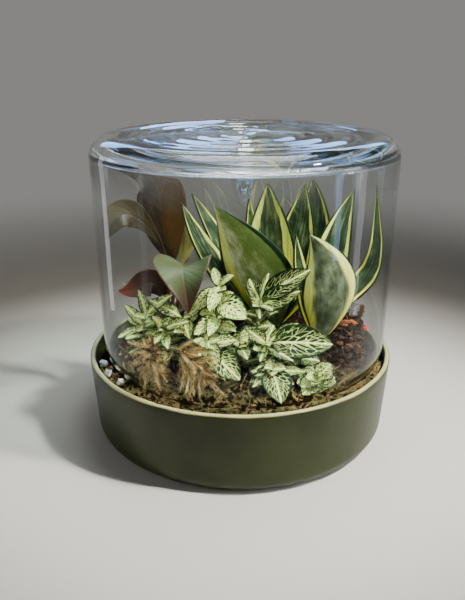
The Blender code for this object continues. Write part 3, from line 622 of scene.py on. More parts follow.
glass = Heap()
glass.add_rings(wavy(turn_profile(glass_profile, DOME_SHIFT)))
weld(glass.piece("wavy_glass", [clear_glass()], "glass_dome"))

# %% [markdown]
# ## The soil
#
# Potting soil is dark and crumbly, with fibres of peat. A bump map alone looks like painted cloth from the side,
# so the surface itself is rough: a turned grid raised to the level of the ground, with three sizes of bumps, and
# loose crumbs strewn on it. Where the glass stands the ground stays flat.

# %% Level of the ground
SEAT_LEVEL = 75.7
SEAT_INNER = 126.0
SEAT_OUTER = 132.5
SEAT_MIDDLE = 129.6
EDGE_LEVEL = 66.0
SWELL = 14.0
MOUND_PLACE = (114.0, 3.0)
MOUND_HEIGHT = 29.0
MOUND_SPREAD = 24.0
SOIL_BOTTOM = 17.3
SOIL_GAP = 0.3
BUMPS = ((16, 1, 1.3), (7, 2, 1.3), (3.4, 3, 0.8))
BUMP_SINK = 0.8


def soil_level(x, y):
    """Height of the ground: flat under the glass, a low swell inside it, and a bell-shaped mound at the right."""
    out = np.hypot(x - DOME_SHIFT, y)
    fade = np.clip((SEAT_INNER - out) / 4, 0, 1)
    near = ((x - MOUND_PLACE[0]) ** 2 + (y - MOUND_PLACE[1]) ** 2) / (2 * MOUND_SPREAD**2)
    inside = SEAT_LEVEL + SWELL * np.clip(1 - (out / SEAT_INNER) ** 2, 0, 1) + MOUND_HEIGHT * np.exp(-near) * fade
    beyond = np.clip((out - SEAT_OUTER) / (RIM_RADIUS - BOWL_WALL - SEAT_OUTER), 0, 1)
    return inside + (EDGE_LEVEL - SEAT_LEVEL) * beyond


def seat_fade(x, y):
    """0 where the glass stands, 1 away from it."""
    return np.clip(np.abs(np.hypot(x - DOME_SHIFT, y) - SEAT_MIDDLE) / 3 - 1.2, 0, 1)


def ground(x, y):
    """Rough ground: its level plus bumps of three sizes."""
    bumps = sum(roughness_field(x, y, pitch, seed) * height for pitch, seed, height in BUMPS)
    return soil_level(x, y) + (bumps - BUMP_SINK) * seat_fade(x, y)


def on_ground(x, y, lift):
    """Points that lie a little above the rough ground."""
    return np.stack([x, y, ground(x, y) + lift], axis=1)


print("the mound stands", round(soil_level(*MOUND_PLACE), 1), "mm above the table")

# %% Soil surface
SOIL_WALL = RIM_RADIUS - BOWL_WALL - SOIL_GAP
SOIL_RINGS = 84
SOIL_STEPS = 216


def potting_soil():
    """Dark crumbs, each of its own brown; the third number of leaf is the crumb's shade."""
    finish = Finish("potting_soil", Specular_IOR_Level=0.0)
    place = finish.place()
    shade = finish.triple("leaf")[2]
    cloud = finish.noise(place, 320.0, 4.0, 0.7)
    value = shade * 0.68 + cloud * 0.5 - 0.12
    browns = {0.0: (5, 4, 3), 0.35: (22, 14, 9), 0.62: (46, 31, 23), 0.84: (84, 57, 40), 1.0: (158, 126, 98)}
    finish.bump(finish.noise(place, 900.0, 3.0), 0.5)
    return finish.paint(finish.ramp(value, browns), 0.95 - shade * 0.2)


soil = Heap()
top_rings = np.concatenate([np.linspace(0, SOIL_WALL, SOIL_RINGS), [SOIL_WALL, SOIL_WALL - 3, SOIL_WALL - 60, 0]])
top_height = np.concatenate([np.full(SOIL_RINGS, 1.0), [45.0, SOIL_BOTTOM, SOIL_BOTTOM, SOIL_BOTTOM]])
soil_points = turn_profile(np.stack([top_rings, top_height], axis=1), 0.0, SOIL_STEPS)
soil_points[:SOIL_RINGS, :, 2] = ground(soil_points[:SOIL_RINGS, :, 0], soil_points[:SOIL_RINGS, :, 1])
soil.add_rings(soil_points, 0.2)
soil_finish = potting_soil()
weld(soil.piece("rough_soil", [soil_finish], "soil"))

# %% Crumbs, clods and fibres
CRUMBS = 3800
CLODS = 3400
FIBRES = 1500
SEAT_CLEAR = 5.5
STREWN = 142.0
CLOD_RADII = (133.5, 142.0)
CLOD_SPREAD = 21.0
CLOD_SHIFT = 12.0
FIBRE_REACH = 48.0


def on_disc(draw, count, reach):
    """Places spread evenly over a disc about the glass axis."""
    radius = np.sqrt(draw.uniform(0, reach**2, count))
    angle = draw.uniform(0, 2 * np.pi, count)
    return DOME_SHIFT + radius * np.cos(angle), radius * np.sin(angle)


draw = np.random.default_rng(5)
crumbs = Heap()
x, y = on_disc(draw, CRUMBS, STREWN)
ring = draw.uniform(*CLOD_RADII, CLODS // 3), draw.uniform(0, 2 * np.pi, CLODS // 3)
x, y = np.append(x, ring[0] * np.cos(ring[1]) + 2), np.append(y, ring[0] * np.sin(ring[1]))
keep = (np.abs(np.hypot(x - DOME_SHIFT, y) - SEAT_MIDDLE) > SEAT_CLEAR) & (np.hypot(x, y) < STREWN - 1)
x, y = x[keep], y[keep]
sizes = 0.5 + 1.6 * draw.random(len(x)) ** 2.5
add_crumbs(crumbs, on_ground(x, y, draw.uniform(0, 0.6, len(x)) * sizes), sizes, draw, draw.random(len(x)) ** 1.5)
spread = draw.normal(0, CLOD_SPREAD, (CLODS, 2)) + (np.array(MOUND_PLACE) - CLOD_SHIFT)
spread = spread[np.hypot(spread[:, 0] - DOME_SHIFT, spread[:, 1]) < SEAT_INNER - 5]
sizes = 0.7 + 3.0 * draw.random(len(spread)) ** 4
places = on_ground(*spread.T, draw.uniform(0, 1.1, len(spread)) * sizes)
add_crumbs(crumbs, places, sizes, draw, draw.random(len(spread)) ** 1.3)
x, y = on_disc(draw, FIBRES, SEAT_INNER - 4)
near_mound = np.hypot(x - MOUND_PLACE[0], y - MOUND_PLACE[1]) < FIBRE_REACH
x, y = x[near_mound], y[near_mound]
ways = draw.normal(size=(len(x), 3)) * (1, 1, 0.4) + (0, 0, 0.3)
add_needles(crumbs, on_ground(x, y, 0.5), ways, draw.uniform(3, 8, len(x)),
            draw.uniform(0.15, 0.35, len(x)), draw.normal(size=(len(x), 3)) * 1.5, 0.5 + 0.5 * draw.random(len(x)))
crumbs.piece("soil_crumbs", [soil_finish], "soil", smooth=False)

# %% [markdown]
# ## Nerve plant leaves
#
# The nerve plant has oval leaves in pairs, dark green under a white net. On a real leaf the net has an order: a
# broad midrib, side veins that leave it at a slant, and fine meshes between them. A painted picture could hold
# it, but a formula is sharper: the side veins are lines of equal phase, `7 v - 2.4 u`, and the meshes are the
# edges of flat Voronoi cells, laid out along that phase. Young leaves are nearly all white, so each leaf has its own
# number for how far the net has closed. Leaves low on a stem get a lower number, because they are older, and their
# darker green also stands in as painted shade deep in the clump.

# %% Stems of the nerve plant
LEAF_FACE = (0, -0.6, 0.8)
Sprig = namedtuple("Sprig", "at tip width bow face", defaults=(0.16, LEAF_FACE))
Stem = namedtuple("Stem", "foot bend top pale sprigs")
FITTONIA_STEMS = (
    Stem((-92, -40), (-93, -44, 108), (-88, -46, 132), 0.35, (
        Sprig(0.98, (-93, -52, 158), 9, face=(0.5, -0.8, 0.2)), Sprig(0.98, (-62, -48, 152), 10),
        Sprig(0.80, (-108, -41, 139), 9), Sprig(0.80, (-112, -60, 114), 8), Sprig(0.66, (-104, -68, 116), 10),
        Sprig(0.66, (-84, -22, 122), 11, face=(0, 0.5, 0.8)),
    )),
    Stem((-68, -50), (-70, -52, 104), (-70, -58, 122), 0.45, (
        Sprig(0.98, (-46, -70, 134), 11), Sprig(0.98, (-80, -62, 136), 9), Sprig(0.90, (-77, -78, 116), 9),
        Sprig(0.90, (-65, -81, 112), 9), Sprig(0.70, (-58, -34, 122), 10, face=(0, 0.2, 0.9)),
    )),
    Stem((-28, -48), (-22, -48, 120), (-19, -47, 162), 0.75, (
        Sprig(0.99, (-28, -66, 142), 13, 0.30, (-0.1, -0.9, 0.3)),
        Sprig(0.98, (-42, -54, 139), 13, 0.30, (-0.4, -0.9, 0.2)), Sprig(0.99, (-6, -52, 172), 8),
        Sprig(0.97, (-25, -36, 174), 9, face=(0, -0.9, 0.3)), Sprig(0.86, (5, -72, 138), 21, 0.25, (0.1, -0.85, 0.45)),
        Sprig(0.84, (-6, -54, 156), 10), Sprig(0.70, (-29, -80, 124), 12, 0.3, (0, -0.9, 0.35)),
        Sprig(0.70, (-42, -74, 123), 14, 0.3, (-0.1, -0.9, 0.35)), Sprig(0.60, (-4, -74, 126), 10),
        Sprig(0.60, (-30, -24, 138), 14, face=(0, 0.4, 0.8)),
    )),
    Stem((-22, -76), (-26, -74, 100), (-30, -76, 119), 0.3, (
        Sprig(0.98, (-20, -96, 99), 15, 0.2, (-0.1, -0.9, 0.4)), Sprig(0.70, (-1, -108, 95), 22, 0.3, (0.2, -0.9, 0.4)),
        Sprig(0.90, (-3, -84, 122), 13, 0.1),
    )),
    Stem((12, -44), (16, -48, 116), (18, -46, 148), 0.05, (
        Sprig(0.99, (62, -60, 180), 19, 0.12, (-0.1, -0.8, 0.5)),
        Sprig(0.90, (53, -64, 161), 20, 0.18, (0.1, -0.7, 0.6)), Sprig(0.99, (26, -42, 171), 9, face=(0, -0.9, 0.2)),
        Sprig(0.97, (8, -38, 164), 12, face=(0, -0.9, 0.2)), Sprig(0.92, (17, -66, 135), 8, face=(0, -0.8, 0.5)),
        Sprig(0.92, (33, -68, 142), 9), Sprig(0.70, (38, -30, 128), 14, face=(0, 0.2, 0.9)),
    )),
    Stem((22, -66), (22, -68, 100), (23, -70, 114), 0.15, (
        Sprig(0.99, (81, -84, 118), 28, 0.10, (-0.1, -0.75, 0.6)), Sprig(0.94, (52, -66, 131), 10),
        Sprig(0.99, (30, -62, 128), 9, face=(0, -0.9, 0.2)), Sprig(0.98, (7, -72, 127), 13, face=(0, -0.9, 0.3)),
        Sprig(0.90, (17, -88, 103), 9), Sprig(0.84, (46, -94, 106), 12),
    )),
    Stem((28, -88), (28, -90, 88), (27, -92, 98), 0.1, (
        Sprig(0.98, (34, -121, 80), 23, 0.22, (0.1, -0.8, 0.6)), Sprig(0.80, (56, -94, 96), 10),
        Sprig(0.70, (10, -108, 88), 9),
    )),
    Stem((66, -90), (67, -92, 84), (68, -93, 90), 0.5, (
        Sprig(0.98, (79, -92, 103), 17, 0.1, (-0.2, -0.9, 0.3)), Sprig(0.98, (52, -104, 85), 13),
        Sprig(0.70, (84, -88, 87), 10),
    )),
    Stem((-48, -42), (-50, -44, 100), (-54, -48, 130), 0.3, (
        Sprig(0.99, (-46, -72, 118), 13), Sprig(0.99, (-84, -46, 146), 12, 0.2, (0.1, -0.8, 0.5)),
        Sprig(0.97, (-36, -50, 140), 11), Sprig(0.90, (-80, -60, 128), 12, 0.2, (0.1, -0.8, 0.5)),
        Sprig(0.80, (-60, -76, 126), 11, 0.2, (0.0, -0.8, 0.5)),
    )),
    Stem((0, -60), (-2, -62, 98), (-1, -66, 112), 0.3, (
        Sprig(0.99, (14, -58, 124), 11), Sprig(0.99, (-18, -72, 110), 11), Sprig(0.90, (6, -86, 104), 12),
    )),
    Stem((50, -56), (50, -58, 98), (50, -58, 112), 0.2, (
        Sprig(0.99, (70, -62, 118), 13), Sprig(0.99, (34, -56, 118), 12), Sprig(0.90, (64, -74, 100), 13),
    )),
)
FOOT_DEPTH = 12.0
STALK_RISE = 8.0
STALK_RADII = (1.7, 1.1)
SIDE_VEINS = 7.0
VEIN_SLANT = 2.4
LEAF_THICK = 0.45
print("the nerve plant has", sum(len(stem.sprigs) for stem in FITTONIA_STEMS), "measured leaves")


# %% Net of veins
def nerve_leaf():
    """White net on green: leaf holds across, along and paleness; size holds the same in mm, and a seed."""
    finish = Finish("nerve_plant_leaf", Specular_IOR_Level=0.1, Subsurface_Weight=0.1, Subsurface_Scale=0.001)
    across, along, pale = finish.triple("leaf")
    wide, deep, seed = finish.triple("size")
    where = finish.vector(wide, deep, seed)
    warp = finish.noise(where, 0.22, 2.0) - 0.5
    x = abs(across)
    phase = along * SIDE_VEINS - (x**0.9) * VEIN_SLANT + warp * 0.55
    apart = 0.5 - abs(phase.math("FRACT") - 0.5)
    side = finish.step(apart / ((1.15 - x) * (0.038 + pale * 0.06)), 1.5, 0.7)
    middle = finish.step(abs(wide) - (1 - along) * 0.5, 0.9, 0.35)
    offset = across.math("SIGN") * 17.3 + seed * 3.1
    island = finish.cells(finish.vector(phase * 1.35 + offset, x * 3.0 + warp))
    closed = pale * 0.3 - 0.035 + (1 - x) ** 3.0 * 0.06
    fine = finish.step(island - closed, 0.095, 0.03)
    margin = finish.step(x + warp * 0.22, 0.95, 0.78)
    white = finish.math("MAXIMUM", finish.math("MAXIMUM", side, middle), fine) * margin
    cloud = finish.noise(where, 0.12, 3.0)
    green = finish.mix(cloud, (2, 16, 2), (15, 46, 8))
    green = finish.mix(pale * 0.25, green, (70, 104, 40))
    cream = finish.mix(cloud, (250, 255, 174), (194, 222, 106))
    finish.bump(white * 0.6 + cloud * 0.3, 0.35)
    return finish.paint(finish.mix(white, green, cream), 0.42 + cloud * 0.2)


def stalk(name, pitch, sway, ends, foot, top, depth, roughness, **constants):
    """Stalk that changes colour from its foot to its top between two shares of its length, swayed by noise."""
    finish = Finish(name, **constants)
    cloud = finish.noise(finish.place(), pitch)
    share = finish.step(finish.triple("leaf")[1] + (cloud - 0.5) * sway, *ends)
    finish.bump(cloud, depth)
    return finish.paint(finish.mix(share, foot, top), roughness)


nerve_finishes = [
    nerve_leaf(),
    stalk("nerve_plant_stalk", 400.0, 0.3, (0.2, 0.7), (92, 74, 48), (112, 132, 72), 0.3, 0.6, Sheen_Weight=0.3),
]
print("made", [finish.name for finish in nerve_finishes])


# %% Leaves of the nerve plant
PETIOLE_SHARE = 0.12
LEAF_CUP = 0.3
BROAD = 16.0
FINE_GRID, COARSE_GRID = (34, 17), (16, 9)


def oval_outline(t):
    """Narrow stalk, then sin(pi s^0.8)^0.62 over the rest of the blade."""
    s = np.clip((t - PETIOLE_SHARE) / (1 - PETIOLE_SHARE), 0, 1)
    oval = np.clip(np.sin(np.pi * s**0.8), 0, 1) ** 0.62
    return np.where(t < PETIOLE_SHARE, 0.06 * t / PETIOLE_SHARE + 0.05, oval)


def quilted(u, v, half):
    """Relief between the side veins: half a cosine of their phase, and a gentle wave along the edge."""
    phase = v * SIDE_VEINS - np.abs(u) ** 0.9 * VEIN_SLANT
    puffs = 0.5 - 0.5 * np.cos(2 * np.pi * phase)
    edge = np.sin(2 * np.pi * 2.5 * v) * np.minimum(half / 0.5, 1) * u
    return 0.035 * half * puffs * (1 - u**4) + 0.5 * edge


def add_nerve_leaf(heap, root, tip, width, bow, face, pale, seed):
    """Leaf that bows towards its face between its root and its tip."""
    root, tip, face = (np.array(v, dtype=float) for v in (root, tip, face))
    along = tip - root
    length = np.linalg.norm(along)
    up = face - along * (face @ along) / length**2
    bend = (root + tip) / 2 + unit(up) * bow * length
    grid = FINE_GRID if width > BROAD else COARSE_GRID
    add_blade(heap, (root, bend, tip), width, face, oval_outline, LEAF_CUP, grid, quilted, (pale, pale), seed)


EXTRA_LEAVES = 19
EXTRA_LENGTHS = (28, 16)
EXTRA_WIDTH = 0.78
LEAF_REACH = 121.0
LEAF_LIFT = 4.0
LEAF_WIDENING = 1.15
GOLDEN_TURN = 137.5
STEM_TURN = 40.0


def within_glass(point):
    """Point drawn in from the glass and lifted off the ground."""
    out = point[:2] - (DOME_SHIFT, 0)
    near = out * min(1, LEAF_REACH / np.hypot(*out)) + (DOME_SHIFT, 0)
    return np.array((*near, max(point[2], soil_level(*near) + LEAF_LIFT)))


draw = np.random.default_rng(11)
for number, stem in enumerate(FITTONIA_STEMS, 1):
    heap = Heap()
    level = soil_level(*stem.foot)
    line = ((*stem.foot, level - FOOT_DEPTH), (*stem.foot, level + STALK_RISE), stem.bend, stem.top)
    for sprig, root in zip(stem.sprigs, bezier(line, [sprig.at for sprig in stem.sprigs])[0]):
        pale = np.clip(stem.pale * 0.7 + draw.uniform(-0.15, 0.1) + (0.1 if sprig.width < 10 else 0), 0, 1)
        width = sprig.width * LEAF_WIDENING
        add_nerve_leaf(heap, root, sprig.tip, width, sprig.bow, sprig.face, pale, draw.uniform(0, 90))
    shares = np.linspace(0.32, 0.97, EXTRA_LEAVES)
    for i, root in enumerate(bezier(line, shares)[0]):
        turn = (GOLDEN_TURN * i + STEM_TURN * number) * DEGREE
        length = (EXTRA_LENGTHS[0] - EXTRA_LENGTHS[1] * shares[i]) * draw.uniform(0.85, 1.15)
        tip = within_glass(root + length * np.array((np.cos(turn), np.sin(turn), shares[i] - 0.45)))
        # Lower leaves are less pale: partly their age, partly a painted shade deep in the clump.
        pale = np.clip(stem.pale * 0.5 + (shares[i] - 0.6) * 0.8 + draw.uniform(-0.2, 0.15), 0, 1)
        add_nerve_leaf(heap, root, tip, length * EXTRA_WIDTH, 0.2, LEAF_FACE, pale, draw.uniform(0, 90))
    heap.piece(f"nerve_plant_leaves_{number}", nerve_finishes[:1], f"fittonia_{number}", LEAF_THICK)
    heap = Heap()
    add_tube(heap, line, STALK_RADII)
    heap.piece(f"nerve_plant_stalk_{number}", nerve_finishes[1:], f"fittonia_{number}")

# %% [markdown]
# ## Snake plant leaves
#
# The dwarf snake plant grows a funnel of stiff, channelled leaves. The middle of each is grey-green and streaked,
# a yellow band runs along each side, and a thin dark line closes the edge. Bands and streaks both run along the
# leaf, so noise stretched twentyfold in that direction moves their borders. Solidify gives the real leaf's
# thickness of nearly two millimetres. Most leaves are dark and streaked; the two broad ones in front are paler and
# softly clouded, one olive and one silver, so the finish comes in three tones. The olive one is also lightened as
# painted light, in its middle and its gold, and it is paler towards one side as a painted sheen.

# %% Rosettes of the snake plant
Rosette = namedtuple("Rosette", "crown leaves")
Sword = namedtuple("Sword", "line width face cup left right tone", defaults=(None, 0.35, 0.4, 0.4, 0))
SNAKE_ROSETTES = (
    Rosette((30, 24), (
        Sword(((19, -18, 164), (-24, -26, 231)), 76, (0.2, 0.58, 0.55), 0.30, -0.35, 1.15, 1),
        Sword(((36, 44, 165), (28, 42, 239)), 58, left=0.75, right=0.6),
        Sword(((-34, 0, 160), (-56, 2, 227)), 34, (0.5, -0.6, 0.7), 0.3, 0.3, 0.35),
        Sword(((-20, 40, 172), (-48, 38, 228)), 30, (0.6, -0.6, 0.6), 0.3, 0.2, 0.3),
        Sword(((12, 62, 150), (10, 60, 222)), 24),
        Sword(((62, 50, 165), (66, 44, 237)), 46, (-0.25, -0.9, 0.1), 0.3, 0.15, 0.3),
        Sword(((90, 66, 165), (74, 58, 242)), 50, (-0.1, -0.9, 0.1), 0.35, 0.2, 0.2),
    )),
    Rosette((79, -14), (
        Sword(((98, -50, 160), (63, -38, 206)), 55, (-0.2, 0.6, 0.5), 0.35, 0.52, 0.42, 2),
        Sword(((54, -30, 150), (52, -18, 201)), 24, (0.6, -0.7, 0.2), 0.35, 0.5, 0.5),
        Sword(((86, 14, 168), (114, 32, 234)), 38, (-0.3, -0.8, 0.4), 0.35, 0.25, 0.4),
        Sword(((108, 0, 150), (134, -3, 152), (138, -5, 158), (129, 1, 247)), 24, (-0.3, -0.6, 0.8), 0.15, 0.3, 0.3),
    )),
)
print("the snake plant has", sum(len(rosette.leaves) for rosette in SNAKE_ROSETTES), "leaves")

# %% Bands, streaks and channelled leaves
CROWN_SPREAD = 5.0
CROWN_ABOVE = 5.5
SNAKE_THICK = 1.8
SNAKE_GRID = (60, 21)
WIDEST = 0.42


def sword_outline(t):
    """Clasping base, widest at 0.42 of the length, then drawn out: 1 - s^1.7."""
    low = 0.36 + 0.64 * np.sin(np.pi / 2 * np.minimum(t, WIDEST) / WIDEST)
    high = 1 - np.clip((t - WIDEST) / (1 - WIDEST), 0, 1) ** 1.7
    return np.where(t < WIDEST, low, high)


def snake_leaf(tone, blur, fibre, gold, tilt, rim, *middles):
    """Marbled middle, a painted sheen across by tilt, yellow bands, a dark edge from rim; leaf ends with the band's
    share.
    """
    finish = Finish(f"snake_plant_{tone}", Specular_IOR_Level=0.2, Coat_Weight=0.08, Coat_Roughness=0.3)
    across, along, band = finish.triple("leaf")
    wide, deep, seed = finish.triple("size")
    streak = finish.noise(finish.vector(wide * 0.50, deep * 0.022, seed), 1.0, 4.0, 0.6)
    cloud = finish.noise(finish.vector(wide * 0.10, deep * 0.06, seed + 7.0), 1.0, 4.0, 0.65)
    sway = finish.noise(finish.vector(across * 1.3, deep * 0.035, seed), 1.0, 1.0) - 0.5
    x = abs(across)
    border = 0.86 - band * 0.5 + sway * 0.3
    inside = x - border + (streak - 0.5) * 0.14
    yellow = finish.step(inside, -blur, blur)
    edge = finish.step(x + (streak - 0.5) * 0.06, rim, rim + 0.04)
    # tilt lightens the middle towards one side of the leaf: a painted sheen.
    value = streak * fibre + cloud * (1.3 - fibre) + across * tilt - 0.15
    middle = finish.ramp(value, dict(zip((0.34, 0.46, 0.58, 0.78), middles)))
    low = finish.step(along, 0.7, 0.15)
    gold = finish.mix(low, *gold)
    gold = finish.mix(finish.step(streak, 0.58, 0.4) * fibre * 0.7, gold, (120, 138, 44))
    colour = finish.mix(yellow, middle, gold)
    colour = finish.mix(edge, colour, (8, 34, 12))
    finish.bump(streak, 0.35)
    return finish.paint(colour, 0.28 + cloud * 0.25)


def curled(u, v, half):
    """Relief of a stiff blade: a faint keel and a slow wave of the edges."""
    return 0.02 * half * np.cos(np.pi * u) + 0.6 * np.sin(2 * np.pi * 1.3 * v) * u * np.minimum(half / 8, 1)


GOLD = ((230, 232, 116), (250, 232, 40))
# The olive front leaf's gold, made brighter as painted light.
GOLD_WITH_PAINTED_LIGHT = ((250, 252, 150), (255, 244, 70))
PALE_GOLD = ((222, 226, 128), (236, 232, 96))
snake_finishes = [
    snake_leaf("streaked", 0.03, 0.7, GOLD, 0.0, 0.90, (8, 24, 12), (26, 46, 26), (66, 86, 56), (146, 160, 122)),
    # The olive front leaf: its middles are partly lightened as painted light, and its tilt paints a sheen on one side.
    snake_leaf("olive", 0.11, 0.4, GOLD_WITH_PAINTED_LIGHT, 0.22, 0.84,
               (104, 130, 60), (136, 152, 82), (176, 182, 136), (226, 226, 200)),
    snake_leaf("silver", 0.10, 0.35, PALE_GOLD, 0.0, 0.90, (46, 56, 40), (74, 86, 62), (98, 108, 84), (150, 156, 128)),
]
draw = np.random.default_rng(21)
for number, rosette in enumerate(SNAKE_ROSETTES, 1):
    heap = Heap()
    middle = np.array((*rosette.crown, soil_level(*rosette.crown) + CROWN_ABOVE))
    for sword in rosette.leaves:
        out = unit((np.array(sword.line[0]) - middle) * (1, 1, 0))
        face = sword.face or (-out[0], -out[1], 0.3)
        line = (middle + out * CROWN_SPREAD, *sword.line)
        add_blade(heap, line, sword.width, face, sword_outline, sword.cup, SNAKE_GRID, curled,
                  (sword.left, sword.right), draw.uniform(0, 90), sword.tone)
    heap.piece(f"snake_plant_leaves_{number}", snake_finishes, f"snake_plant_{number}", SNAKE_THICK)

# %% [markdown]
# ## Philodendron
#
# The philodendron holds broad glossy leaves on red stalks. Each of its five leaves is given its own colours, with
# light and shade painted into them: painted amber where light would come through it, a painted grey sheen where it
# would shine, painted dark red-brown shade where it lies in shade. So one function makes the finish and takes the
# colours of the two halves, the tip and the edge. Faint side veins show as slight grooves.

# %% Philodendron leaves and stalks
Leaf = namedtuple("Leaf", "line width face cup peak colours")
PHILODENDRON_CROWN = (-72, 16)
# Each leaf's colours are its right half, left half, tip and edge, with painted light and shade in them.
PHILODENDRON_LEAVES = (
    Leaf(((-66, 18, 163), (-88, 26, 216), (-60, 22, 261), (-119, 8, 258)), 54, (0.2, -1, 0.1), 0.15, 0.9,
         ((66, 42, 3), (30, 19, 3), (42, 26, 3), (54, 34, 8))),
    Leaf(((-68, 2, 164), (-84, -4, 214), (-114, -12, 240), (-126, -18, 197)), 36, (-0.3, -0.8, 0.5), 0.2, 2.2,
         ((56, 48, 26), (42, 36, 20), (62, 58, 42), (70, 54, 30))),
    Leaf(((-52, -30, 174), (-54, -52, 188), (-50, -70, 178), (-46, -72, 143)), 58, (0, -0.7, 0.7), 0.25, 0.6,
         ((60, 70, 32), (44, 58, 22), (48, 26, 12), (84, 50, 34))),
    Leaf(((-76, 4, 130), (-86, 0, 166), (-102, -4, 134), (-120, -8, 142)), 30, (0, -1, 0.3), 0.2, 0.8,
         ((34, 13, 6), (24, 9, 4), (96, 32, 20), (60, 22, 13))),
    Leaf(((-58, 30, 158), (-50, 46, 190), (-66, 50, 224)), 26, (-0.4, -0.8, 0.2), 0.3, 0.8,
         ((150, 146, 70), (92, 94, 40), (120, 120, 56), (140, 140, 66))),
)
PETIOLE_BENDS = ((-70, 18, 120), (-78, 4, 120), (-60, -2, 130), (-84, 8, 104), (-62, 26, 120))
PETIOLE_RADII = (2.2, 1.7)
PETIOLE_ROOT = 3.0
PETIOLE_END = 8.0
PHILODENDRON_THICK = 0.7
PHILODENDRON_GRID = (64, 25)
RIBS = 11.0
RIB_SLANT = 2.6


def heart_outline(peak):
    """Rounded base and drawn-out tip: sin(pi t^peak)^0.8 times 1 - t / 4."""
    return lambda t: np.clip(np.sin(np.pi * t**peak), 0, 1) ** 0.8 * (1 - 0.25 * t)


def philodendron_leaf(number, colours):
    """Glossy leaf: two halves, a tip and an edge in given colours with light and shade painted in, and shallow side
    veins.
    """
    right, left, tip, edge = colours
    finish = Finish(f"philodendron_leaf_{number}", Specular_IOR_Level=0.16, Coat_Weight=0.06, Coat_Roughness=0.3)
    across, along, _ = finish.triple("leaf")
    wide, deep, seed = finish.triple("size")
    where = finish.vector(wide, deep, seed)
    cloud = finish.noise(where, 0.05, 4.0)
    x = abs(across)
    phase = along * RIBS - (x**0.8) * RIB_SLANT + (cloud - 0.5)
    apart = 0.5 - abs(phase.math("FRACT") - 0.5)
    rib = finish.step(abs(wide), 1.1, 0.5)
    body = finish.mix(finish.step(across + (cloud - 0.5) * 0.5, -0.25, 0.25), left, right)
    body = finish.mix(finish.step(along + (cloud - 0.5) * 0.25, 0.6, 0.95), body, tip)
    body = finish.mix(finish.step(x, 0.93, 0.99) * 0.8, body, edge)
    body = finish.mix(finish.step(apart, 0.09, 0.02) * 0.1, body, edge)
    body = finish.mix(rib * 0.2, body, edge)
    body = finish.mix(finish.noise(where, 0.9, 3.0) * 0.16, body, (30, 26, 20))
    finish.bump(finish.step(apart, 0.0, 0.2) * 0.6 + finish.step(abs(wide), 0.3, 1.6), 0.28)
    return finish.paint(body, 0.40 + cloud * 0.16)


# %% Place the philodendron
CROWN_RADII = (6.2, 4.6)
CROWN_RISES = (-12, 0, 10)
EDGE_WAVES = 2.5


def waved(u, v, half):
    """Slow wave of the leaf's edge, and a faint fold along its middle."""
    return np.sin(2 * np.pi * EDGE_WAVES * v) * np.minimum(half, 1) * u + 0.05 * half * np.abs(u)


level = soil_level(*PHILODENDRON_CROWN)
stalks = Heap()
add_tube(stalks, [(*PHILODENDRON_CROWN, level + rise) for rise in CROWN_RISES], CROWN_RADII, sides=14)
start = (*PHILODENDRON_CROWN, level + PETIOLE_ROOT)
for number, (plan, bend) in enumerate(zip(PHILODENDRON_LEAVES, PETIOLE_BENDS), 1):
    base, ahead = (value[0] for value in bezier(plan.line, [0.0]))
    add_tube(stalks, (start, bend, base - ahead * PETIOLE_END, base + ahead * 2), PETIOLE_RADII, rows=24, sides=10)
    heap = Heap()
    add_blade(heap, plan.line, plan.width, plan.face, heart_outline(plan.peak), plan.cup, PHILODENDRON_GRID, waved,
              (0, 0), number)
    heap.piece(f"philodendron_blade_{number}", [philodendron_leaf(number, plan.colours)],
               f"philodendron_leaf_{number}", PHILODENDRON_THICK)
red_stalk = stalk("philodendron_stalk", 220.0, 0.4, (0.1, 0.8), (70, 34, 22), (150, 44, 30), 0.2, 0.32,
                  Coat_Weight=0.3, Coat_Roughness=0.2)
stalks.piece("philodendron_stalks", [red_stalk], "philodendron_stems")

# %% [markdown]
# ## Dry tufts
#
# Two plumes of dry grass lie at the front left, and a small one beside them. A plume is a bundle of thin twigs,
# and each twig bristles on all sides, forwards like a fir twig. So the tuft is made in two steps: twigs spread
# round the line of the plume, then needles along each twig.

# %% Bristling twigs
Tuft = namedtuple("Tuft", "run twigs length shade")
TUFTS = (
    Tuft(((-79, -60, 99), (-83, -72, 104), (-78, -84, 88)), 90, 9.5, 0.52),
    Tuft(((-56, -72, 107), (-44, -88, 106), (-20, -108, 84)), 90, 9.5, 0.72),
    Tuft(((-104, -40, 88), (-109, -50, 92), (-104, -58, 86)), 30, 5.5, 0.36),
)
TUFT_BRISTLES = 80
TUFT_REACH = 126.0
TUFT_LIFT = 0.8


def dry_straw():
    """Straw from grey-brown to gold, by the shade of its bristle, paler at the tips."""
    finish = Finish("dry_straw", Specular_IOR_Level=0.0)
    _, along, shade = finish.triple("leaf")
    cloud = finish.noise(finish.place(), 120.0)
    value = shade * 0.85 + along * 0.2 + (cloud - 0.5) * 0.4
    straws = {0.0: (20, 15, 8), 0.35: (86, 68, 44), 0.62: (176, 144, 92), 1.0: (252, 226, 162)}
    return finish.paint(finish.ramp(value, straws), 0.75)


def held_between(x, y, shift, least, most):
    """Places moved along their radius about an axis at shift, until it lies between two bounds."""
    radius = np.maximum(np.hypot(x - shift, y), 1)
    share = np.clip(radius, least, most) / radius
    return (x - shift) * share + shift, y * share


def kept_inside(points):
    """Points drawn in from the glass and up from the ground."""
    x, y = held_between(points[..., 0], points[..., 1], DOME_SHIFT, 1, TUFT_REACH)
    return np.stack([x, y, np.maximum(points[..., 2], soil_level(x, y) + TUFT_LIFT)], axis=-1)


